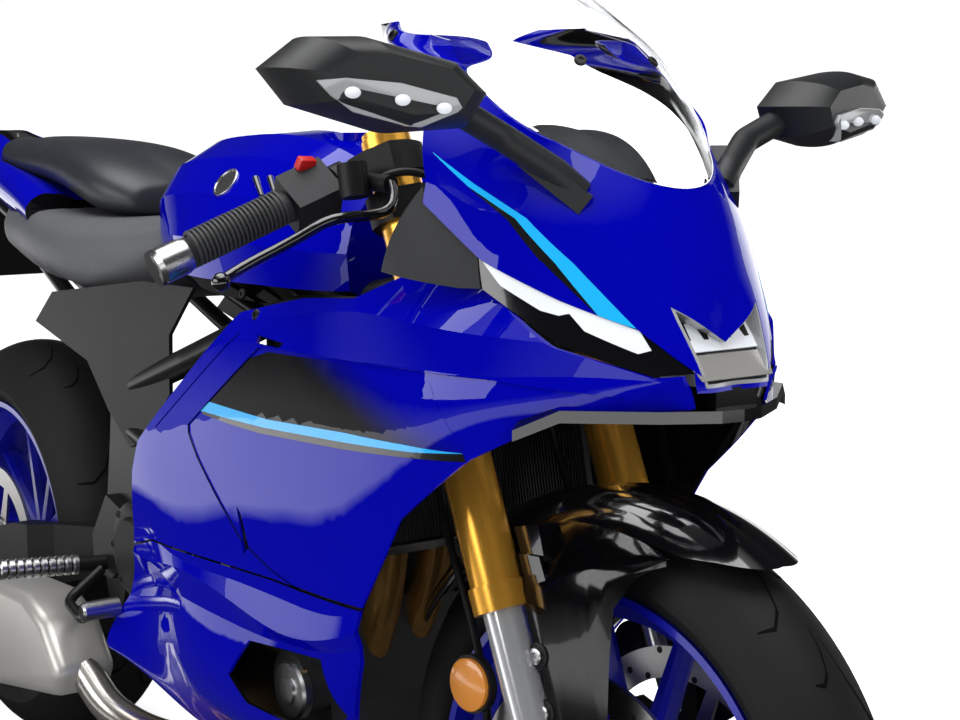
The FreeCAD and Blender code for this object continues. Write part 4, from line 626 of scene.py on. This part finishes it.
def film(name, node, fields, look, lift=0.3):
    """A sheet on both sides of the machine over convex fields of (x, z)."""
    skin = outer_skin(node)
    sheets = bmesh.new()
    for field in fields:
        part = bmesh.new()
        part.from_mesh(skin)
        low_x, high_x = min(x for x, z in field), max(x for x, z in field)
        far = [f for f in part.faces if max(v.co.x for v in f.verts) < low_x
               or min(v.co.x for v in f.verts) > high_x]
        bmesh.ops.delete(part, geom=far, context="FACES")
        cut_field(part, field)
        piece = bpy.data.meshes.new("Film part")
        part.to_mesh(piece)
        part.free()
        sheets.from_mesh(piece)
        bpy.data.meshes.remove(piece)
    bpy.data.meshes.remove(skin)
    bmesh.ops.remove_doubles(sheets, verts=sheets.verts, dist=0.03)
    loose = [v for v in sheets.verts if not v.link_faces]
    bmesh.ops.delete(sheets, geom=loose, context="VERTS")
    sheets.normal_update()
    for vert in sheets.verts:
        vert.co += vert.normal * lift
    bmesh.ops.solidify(sheets, geom=sheets.faces[:], thickness=0.2)
    settle(name, sheets, look, "chassis", turn_out=False)


cyan_upper = [(-460, 667.5), (-400, 666.5), (-330, 665.5), (-188, 671.5), (-88, 673), (-24, 672.2)]
cyan_lower = [(-481, 655), (-410, 655.5), (-340, 656), (-187, 662), (-75, 667.5), (-24, 672)]
film("side_cyan_stripe", "side_fairings", strip(cyan_upper, cyan_lower), "cyan film", lift=0.7)
film("side_black_band", "side_fairings",
     strip(cyan_lower, [(-474, 652), (-410, 650), (-350, 649), (-187, 655), (-89, 661), (-23, 664)]),
     "black film", lift=0.5)
film("side_faded_field", "side_fairings",
     strip([(-461, 667.7), (-378, 724), (-340, 734), (-201, 738), (-60, 734), (-22, 680)], cyan_upper),
     "faded film")
cowl_upper = [(-89, 942), (-48, 914), (0, 884), (42, 845), (93, 789)]
cowl_lower = [(-89, 941.5), (-51, 911), (-8, 883.5), (30, 845), (69, 798)]
film("cowl_cyan_stripe", "upper_cowl", strip(cowl_upper, cowl_lower), "cyan film")
film("cowl_black_stripe", "upper_cowl",
     strip(cowl_lower[1:], [(-51, 910.5), (-13, 882), (20, 846), (60, 807)]), "black film")


# Mirrors: a lens on the outer edge of each shell, with three light guides in it. The left shell is the
# mirror image of the right one, turned about its arm's foot

lens_corners = [(-10, -345, 1004), (1, -323, 1006), (16, -278, 1002), (31, -232, 990), (32, -227, 981),
                (31, -232, 978), (4, -250, 965), (5, -266, 966), (-8, -311, 978), (-6, -333, 991)]
guide_places = [(5, -318, 994), (18, -277, 988), (30, -243, 981)]
arm_foot = Vector((0, 100, 925))
to_left = (Matrix.Translation(arm_foot) @ Matrix.Rotation(math.radians(-6), 4, "X")
           @ Matrix.Translation(-arm_foot) @ Matrix.Diagonal((1, -1, 1, 1)))
for side, turn in (("right", Matrix()), ("left", to_left)):
    lens = bmesh.new()
    add_plate(lens, [(x - 3, y + 1, z) for x, y, z in lens_corners], (7, -2, 0))
    soften(lens, 1.2)
    bmesh.ops.transform(lens, matrix=turn, verts=lens.verts)
    settle(side + "_mirror_light", lens, "lamp glass", "chassis")
    glow = bmesh.new()
    for place in guide_places:
        add_ball(glow, place, 5, stretch=(1, 1.5, 1))
    bmesh.ops.transform(glow, matrix=turn, verts=glow.verts)
    settle(side + "_mirror_guides", glow, "lamp white", "chassis")


# Nose: a sloping lamp with dark teeth over a silver chin, both on the ramp inside the duct

RAMP_AHEAD, RAMP_UP = 0.74, 0.68
RAMP_REACH = 606.6


def on_ramp(y, z, lift):
    """A point at this width and height on the ramp's plane, ahead * x + up * z = reach, lifted off it."""
    return ((RAMP_REACH - RAMP_UP * z) / RAMP_AHEAD + RAMP_AHEAD * lift, y, z + RAMP_UP * lift)


for name, look, corners, lift in (
        ("nose_chin", "brushed silver", [(-43, 743), (43, 743), (51, 763), (-51, 763)], 1.5),
        ("projector_lens", "lamp white", [(-51, 765), (51, 765), (50, 788), (-50, 788)], 3)):
    plate = bmesh.new()
    add_plate(plate, [on_ramp(y, z, lift) for y, z in corners], (-1, 0, -0.9))
    settle(name, plate, look, "chassis")
teeth = bmesh.new()
for y in (-36, -14, 14, 36):
    add_plate(teeth, [on_ramp(y + half, z, 4) for half, z in ((-5, 788), (5, 788), (2.5, 774), (-2.5, 774))],
              (-0.8, 0, -0.7))
settle("projector_teeth", teeth, "satin black", "chassis")


# Exhaust: two bronze headers, a link pipe and a boxy silver can in place of the plain run

def pipe(name, runs, radius, look, replaces=()):
    """Bent tubes through points, as one bevelled curve."""
    data = bpy.data.curves.new(name, "CURVE")
    data.dimensions = "3D"
    data.bevel_depth = radius * 0.001
    data.bevel_resolution = 5
    data.use_fill_caps = True
    for points in runs:
        run = data.splines.new("BEZIER")
        run.bezier_points.add(len(points) - 1)
        for knot, point in zip(run.bezier_points, points):
            knot.co = BIKE @ MM @ Vector(point)
            knot.handle_left_type = knot.handle_right_type = "AUTO"
    piece = bpy.data.objects.new(name, data)
    bpy.context.scene.collection.objects.link(piece)
    hand_over(piece, look, "chassis", replaces)


header_run = [(-361, -40, 610), (-330, -58, 540), (-335, -60, 490), (-350, -58, 445), (-382, -50, 388),
              (-440, -40, 300), (-485, -30, 215), (-560, -26, 186)]
second_run = [(x - 8, y * 0.3 + 24, z) for x, y, z in header_run]
pipe("header_pipes", [header_run, second_run], 20, "heat bronze", replaces=["exhaust"])
link_run = [(-548, -13, 184), (-640, -20, 172), (-715, -100, 182), (-785, -176, 218), (-845, -197, 268)]
pipe("link_pipe", [link_run], 22, "heat bronze")
can_outline = [(-1137, 347), (-935, 355), (-872, 330), (-822, 272), (-842, 238), (-1152, 186)]
can = bmesh.new()
add_plate(can, [(x, -158, z) for x, z in can_outline], (0, -84, 0))
soften(can, 16, segments=4)
settle("silencer", can, "brushed silver", "chassis", crease=50)
tail_cap = bmesh.new()
add_plate(tail_cap, [(x, -164, z) for x, z in ((-1140, 336), (-1120, 337), (-1136, 200), (-1156, 198))],
          (0, -72, 0))
soften(tail_cap, 6)
add_rod(tail_cap, (-1140, -200, 268), (-1168, -200, 264), 22)
settle("silencer_end", tail_cap, "satin black", "chassis")


# Cooling: fins over the radiator's face and a bright rim round them

fin_pitch = 4
core_half_width = 144
lean = Matrix.Translation((-279, 0, 630)) @ Matrix.Rotation(math.radians(-11), 4, "Y")
fins = bmesh.new()
for y in range(-core_half_width, core_half_width + 1, fin_pitch):
    add_box(fins, (14.5, y, 0), (3, 1.2, 196))
bmesh.ops.transform(fins, matrix=lean, verts=fins.verts)
settle("radiator_fins", fins, "engine casting", "chassis")
rim = bmesh.new()
for z in (-106, 106):
    add_box(rim, (15, 0, z), (4, 318, 8))
for y in (-155, 155):
    add_box(rim, (15, y, 0), (4, 8, 208))
bmesh.ops.transform(rim, matrix=lean, verts=rim.verts)
settle("radiator_rim", rim, "bare alloy", "chassis")


# Tyres: strips darker than the rubber and a hair proud of the tread, painted shade for grooves that run back
# from its middle

GROOVE_PITCH = 22
GROOVE_LINE = [(0.02, 0.05), (0.10, 0.16), (0.17, 0.38), (0.20, 0.62), (0.19, 0.86)]
GROOVE_SWEEP = 1.7
GROOVE_HALF_WIDTH = 0.008
GROOVE_TIP = 0.35
GROOVE_LIFT = 0.25
GROOVE_PROUD = 0.3


def tread(name, body, axle, wheel_radius, crown, reach):
    """Long and short strips of painted groove shade by turns, up to a reach on a crown of this radius, in
    the axle's space.
    """
    grooves = bmesh.new()

    def crown_height(y):
        return wheel_radius - crown + math.sqrt(crown * crown - y * y)

    def on_crown(turn, y):
        normal = Vector((0, y / crown, math.sqrt(1 - (y / crown) ** 2)))
        point = Vector((0, y, crown_height(y))) + normal * GROOVE_LIFT
        return Matrix.Rotation(turn, 3, "Y") @ point

    for step in range(int(360 / GROOVE_PITCH)):
        side = 1 if step % 2 else -1
        start = math.radians(step * GROOVE_PITCH)
        for shift, share in ((0.0, 1.0), (math.radians(GROOVE_PITCH) * 0.9, 0.62)):
            pairs = []
            for j, (turn, y) in enumerate(GROOVE_LINE):
                half = GROOVE_HALF_WIDTH * (GROOVE_TIP if j in (0, len(GROOVE_LINE) - 1) else 1)
                middle = start + shift + turn * GROOVE_SWEEP * share
                pairs.append([grooves.verts.new(on_crown(middle + w, side * y * reach * share))
                              for w in (-half, half)])
            for (a, b), (c, d) in zip(pairs, pairs[1:]):
                grooves.faces.new([a, b, d, c] if side < 0 else [a, c, d, b])
    bmesh.ops.subdivide_edges(grooves, edges=grooves.edges[:], cuts=2, use_grid_fill=True)
    for vert in grooves.verts:
        ring = math.hypot(vert.co.x, vert.co.z)
        height = crown_height(vert.co.y) + GROOVE_PROUD
        vert.co.x *= height / ring
        vert.co.z *= height / ring
    bmesh.ops.solidify(grooves, geom=grooves.faces[:], thickness=0.25)
    settle(name, grooves, "painted groove shade", body, space=axle)


tread("front_tread", "front_wheel", FORK, FRONT_RADIUS, crown=60, reach=50)
REAR = BIKE @ MM @ Matrix.Translation((-WHEELBASE, 0, REAR_RADIUS)) @ MM.inverted()
tread("rear_tread", "rear_wheel", REAR, REAR_RADIUS, crown=95, reach=78)


# Seats: padded covers that swell a little over the CAD forms, in metres

SEAT_VOXEL = 0.006
SEAT_PRESSURE = 4
SEAT_FRAMES = 14


def applied(pad):
    """The mesh that the pad's modifiers give, which are then taken off."""
    mesh = bpy.data.meshes.new_from_object(pad.evaluated_get(bpy.context.evaluated_depsgraph_get()))
    pad.modifiers.clear()
    return mesh


def blow_up(pad, swell):
    """Let cloth pressure round the pad, and cap how far a point moves."""
    rest = [vert.co.copy() for vert in pad.data.vertices]
    cloth = pad.modifiers.new("Cloth", "CLOTH")
    cloth.settings.use_pressure = True
    cloth.settings.uniform_pressure_force = SEAT_PRESSURE
    cloth.settings.effector_weights.gravity = 0
    for step in range(1, SEAT_FRAMES + 1):
        bpy.context.scene.frame_set(step)
    blown = applied(pad)
    bpy.context.scene.frame_set(1)
    for vert, before in zip(blown.vertices, rest):
        moved = vert.co - before
        if moved.length > swell:
            vert.co = before + moved * (swell / moved.length)
    pad.data = blown


def padded_seat(name, node, look, swell):
    """Remesh the node's form in even cells, smooth it and blow it up."""
    pad = bpy.data.objects.new(name, NODES[node].data.copy())
    bpy.context.scene.collection.objects.link(pad)
    remesh = pad.modifiers.new("Remesh", "REMESH")
    remesh.mode = "VOXEL"
    remesh.voxel_size = SEAT_VOXEL
    smooth = pad.modifiers.new("Smooth", "SMOOTH")
    smooth.factor = 0.5
    smooth.iterations = 6
    pad.data = applied(pad)
    blow_up(pad, swell)
    for face in pad.data.polygons:
        face.use_smooth = True
    pad.data.materials.clear()
    hand_over(pad, look, "chassis", [node])


padded_seat("rider_pad", "rider_seat", "seat vinyl", swell=0.004)
padded_seat("pillion_pad", "pillion_seat", "seat shell", swell=0.003)


# Inner panels: all but the dash cover as they are, and the dash cover drawn in

def islands(form):
    """The separate parts of a form, as lists of vertices."""
    left_over = set(form.verts)
    while left_over:
        found, edge = set(), [left_over.pop()]
        while edge:
            vert = edge.pop()
            found.add(vert)
            for link in vert.link_edges:
                other = link.other_vert(vert)
                if other in left_over:
                    left_over.remove(other)
                    edge.append(other)
        yield list(found)


def parts_of(node, wanted):
    """A form with the separate parts of a node whose middle passes a test."""
    form = node_form(node)
    for part in list(islands(form)):
        middle = sum((vert.co for vert in part), Vector()) / len(part)
        if not wanted(middle):
            bmesh.ops.delete(form, geom=part, context="VERTS")
    return form


COVERS_FRONT = -200
DASH_HALF_WIDTH = 100
dash_middle = Vector((-60, 0, 950))
dash_drop = Vector((0, 0, -16))
drawn_in = (Matrix.Translation(dash_middle + dash_drop) @ Matrix.Diagonal((0.85, 0.6, 0.85, 1))
            @ Matrix.Translation(-dash_middle))
wedges = parts_of("inner_panels", lambda at: at.x > COVERS_FRONT and abs(at.y) > DASH_HALF_WIDTH)
settle("wedge_panels", wedges, "textured plastic", "chassis", replaces=["inner_panels"], turn_out=False)
covers = parts_of("inner_panels", lambda at: at.x < COVERS_FRONT)
settle("side_covers", covers, "black casting", "chassis", turn_out=False)
dash = parts_of("inner_panels", lambda at: at.x > COVERS_FRONT and abs(at.y) < DASH_HALF_WIDTH)
bmesh.ops.transform(dash, matrix=drawn_in, verts=dash.verts)
settle("dash_cover", dash, "textured plastic", "chassis", turn_out=False)


# Fasteners and small fittings

def screw(form, place, normal, radius, depth=2.5):
    """A round head with a round hole, standing on a surface."""
    start, axis = Vector(place), Vector(normal).normalized()
    add_lathe(form, start - axis, start + axis * 10,
              [(0, 0), (0, radius), (depth, radius), (depth + 1, radius * 0.8), (depth + 1, radius * 0.45),
               (depth - 0.4, radius * 0.45), (depth - 0.4, 0)], sides=20)


screws = bmesh.new()
for place, normal in (((-489, -150, 780), (0, -1, 0.1)), ((-387, -191, 768), (0.1, -1, 0.3)),
                      ((-184, -150, 1052), (0, -0.9, 0.4)), ((-30, -45, 1026), (0.7, -0.3, 0.6))):
    screw(screws, place, normal, 6)
both_sides(screws)
settle("body_screws", screws, "satin black", "chassis")

fender_bolts = bmesh.new()
bosses = bmesh.new()
for x, z in ((26.7, 163), (16.4, 109.6)):
    for side in SIDES:
        add_rod(bosses, (x, side * 96, z), (x, side * 101, z), 13)
        screw(fender_bolts, (x, side * 101, z), (0, side, 0), 8, 4)
soften(bosses, 1.2)
settle("fender_bosses", bosses, "satin black", "fork", space=FORK)
settle("fender_bolts", fender_bolts, "bare alloy", "fork", space=FORK)

reflector = bmesh.new()
holder = bmesh.new()
for side in SIDES:
    add_lathe(reflector, (-55, side * 120, 154), (-55, side * 200, 154),
              [(0, 0), (0, 26), (5, 26), (7, 23), (7, 0)], sides=40)
    add_lathe(holder, (-55, side * 112, 154), (-55, side * 200, 154),
              [(0, 0), (0, 29), (9, 29), (9, 26.3), (8, 26.3), (8, 0)], sides=40)
settle("fork_reflectors", reflector, "amber reflector", "fork", space=FORK)
settle("reflector_holders", holder, "satin black", "fork", space=FORK)


# Bar controls: kill switch, bar end weights and the grips' ribs

switch = bmesh.new()
add_box(switch, (-38, -184, 694), (14, 20, 10), Matrix.Rotation(math.radians(-35), 4, "Y"))
soften(switch, 2)
settle("kill_switch", switch, "red switch", "fork", space=FORK)
weights = bmesh.new()
for side in SIDES:
    add_lathe(weights, (-93, side * 309, 619), (-107, side * 342, 608),
              [(0, 0), (0, 16), (6, 18), (30, 18), (35, 14), (35, 7), (31, 7), (31, 0)])
settle("bar_weights", weights, "bare alloy", "fork", space=FORK)
rib_count = 22
rib_profile = [(0, 15.5), (0, 18.6), (2.2, 18.6), (2.2, 15.5)]
ribs = bmesh.new()
for side in SIDES:
    start, end = Vector((-50, side * 216, 652)), Vector((-88, side * 306, 622))
    for step in range(rib_count):
        spot = start.lerp(end, (step + 0.5) / rib_count)
        add_lathe(ribs, spot, end + (end - start), rib_profile, sides=28)
settle("grip_ribs", ribs, "grip rubber", "fork", space=FORK)


# Tank: a plain round plate and two dark rods on each side, the rods painted shade for air slots

slot_ends = [((-517, 115, 907), (-490, 123, 888)), ((-495, 109, 908), (-472, 116, 890))]
plate = bmesh.new()
slots = bmesh.new()
for side in SIDES:
    facing = Vector((0.04, side * 0.79, 0.61)).normalized()
    spot = Vector((-568, side * 125, 901))
    add_lathe(plate, spot - facing, spot + facing * 10,
              [(0, 0), (0, 19), (2.6, 19), (3.2, 18), (3.2, 16.5), (2.4, 16), (2.4, 0)], sides=48)
    for ends in slot_ends:
        high_end, low_end = (Vector((x, side * y, z)) for x, y, z in ends)
        add_rod(slots, high_end, low_end, 4, tip=2.5, sides=14)
settle("tank_plates", plate, "bare alloy", "chassis")
settle("tank_slot_shade", slots, "black film", "chassis")


# Engine: the clutch cover's ring with its bolts, and a silver pump cover

clutch_x, clutch_z = -708, 448
bolt_count, bolt_circle = 8, 57
clutch = bmesh.new()
add_lathe(clutch, (clutch_x, -176, clutch_z), (clutch_x, -260, clutch_z),
          [(0, 0), (0, 62), (8, 62), (12, 56), (12, 44), (18, 40), (18, 0)], sides=56)
for step in range(bolt_count):
    turn = math.tau * step / bolt_count
    place = (clutch_x + bolt_circle * math.cos(turn), -186, clutch_z + bolt_circle * math.sin(turn))
    screw(clutch, place, (0, -1, 0), 4.5, 3)
settle("clutch_cover", clutch, "black casting", "chassis")
pump = bmesh.new()
add_lathe(pump, (-387, -148, 351), (-387, -240, 351),
          [(0, 0), (0, 33), (9, 33), (12, 30), (12, 16), (15, 14), (15, 0)], sides=40)
settle("pump_cover", pump, "bare alloy", "chassis")


# Front discs: black plugs on three circles, through both faces, painted shade for the discs' holes

hole_count = 36
hole_circles = (121, 133, 145)
disc_inside, disc_outside = 66, 72.1
holes = bmesh.new()
for side in SIDES:
    for step in range(hole_count):
        turn = math.tau * step / hole_count
        radius = hole_circles[step % len(hole_circles)]
        x, z = radius * math.cos(turn), radius * math.sin(turn)
        add_rod(holes, (x, side * disc_inside, z), (x, side * disc_outside, z), 3.6, sides=10)
settle("front_disc_hole_shade", holes, "satin black", "front_wheel", space=FORK)


# Fender skirts: gloss panels outside each fork leg that flare up to the fender

SEAM_RADIUS = 290
SEAM_WIDTH = 68

# Each column of a skirt: its place ahead of the axle, its free edge's height, its top's and its width

SKIRT_COLUMNS = [(24, 60, 233, 99), (50, 56, 233, 99), (84, 64, 232, 99), (97, 92, 231, 99),
                 (117, 141, 228, 98), (137, 184, 223, 96), (166, 205, 216, 88), (196, 211, 214, 76)]


def skirt_side(form, side):
    """One skirt as rows of points from its free edge up to the seam with the fender."""
    rows = []
    for x, low, high, out in SKIRT_COLUMNS:
        seam = math.sqrt(SEAM_RADIUS ** 2 - x ** 2)
        rows.append([form.verts.new((x, side * y, z)) for y, z in (
            (out, low), (out, low + (high - low) * 0.5), (out, high - 6), (out - 4, high + 2),
            (out * 0.5 + 35, (high + seam) / 2), (SEAM_WIDTH, seam))])
    for row, following in zip(rows, rows[1:]):
        for a, b, c, d in zip(row, row[1:], following[1:], following):
            form.faces.new([a, b, c, d] if side < 0 else [d, c, b, a])


skirts = bmesh.new()
for side in SIDES:
    skirt_side(skirts, side)
bmesh.ops.solidify(skirts, geom=skirts.faces[:], thickness=2.2)
settle("fender_skirts", skirts, "gloss black", "fork", space=FORK, crease=50)


# Foot controls: silver sleeves over the pegs, in rings, and over the toes of pedal and gear lever

ring_count, ring_pitch, first_ring = 10, 10.4, 44
sleeves = bmesh.new()
for side in SIDES:
    start, run = Vector((-868, side * 145, 398)), Vector((-0.13, side * 0.99, 0.05))
    for step in range(ring_count):
        spot = start + run * (first_ring + step * ring_pitch)
        add_lathe(sleeves, spot, spot + run, [(0, 10.3), (0, 13), (6, 13), (8, 10.3)], sides=20)
    add_lathe(sleeves, (-722, side * 204, 380), (-722, side * 300, 380),
              [(0, 9.3), (0, 12), (46, 12), (49, 9.3)], sides=20)
settle("foot_sleeves", sleeves, "bare alloy", "chassis")


# A dark sheet behind the slot in each side panel, painted shade for the hollow behind the slot

slot_shade = bmesh.new()
add_box(slot_shade, (-352, -178, 742), (70, 3, 34))
both_sides(slot_shade)
settle("panel_slot_shade", slot_shade, "satin black", "chassis")
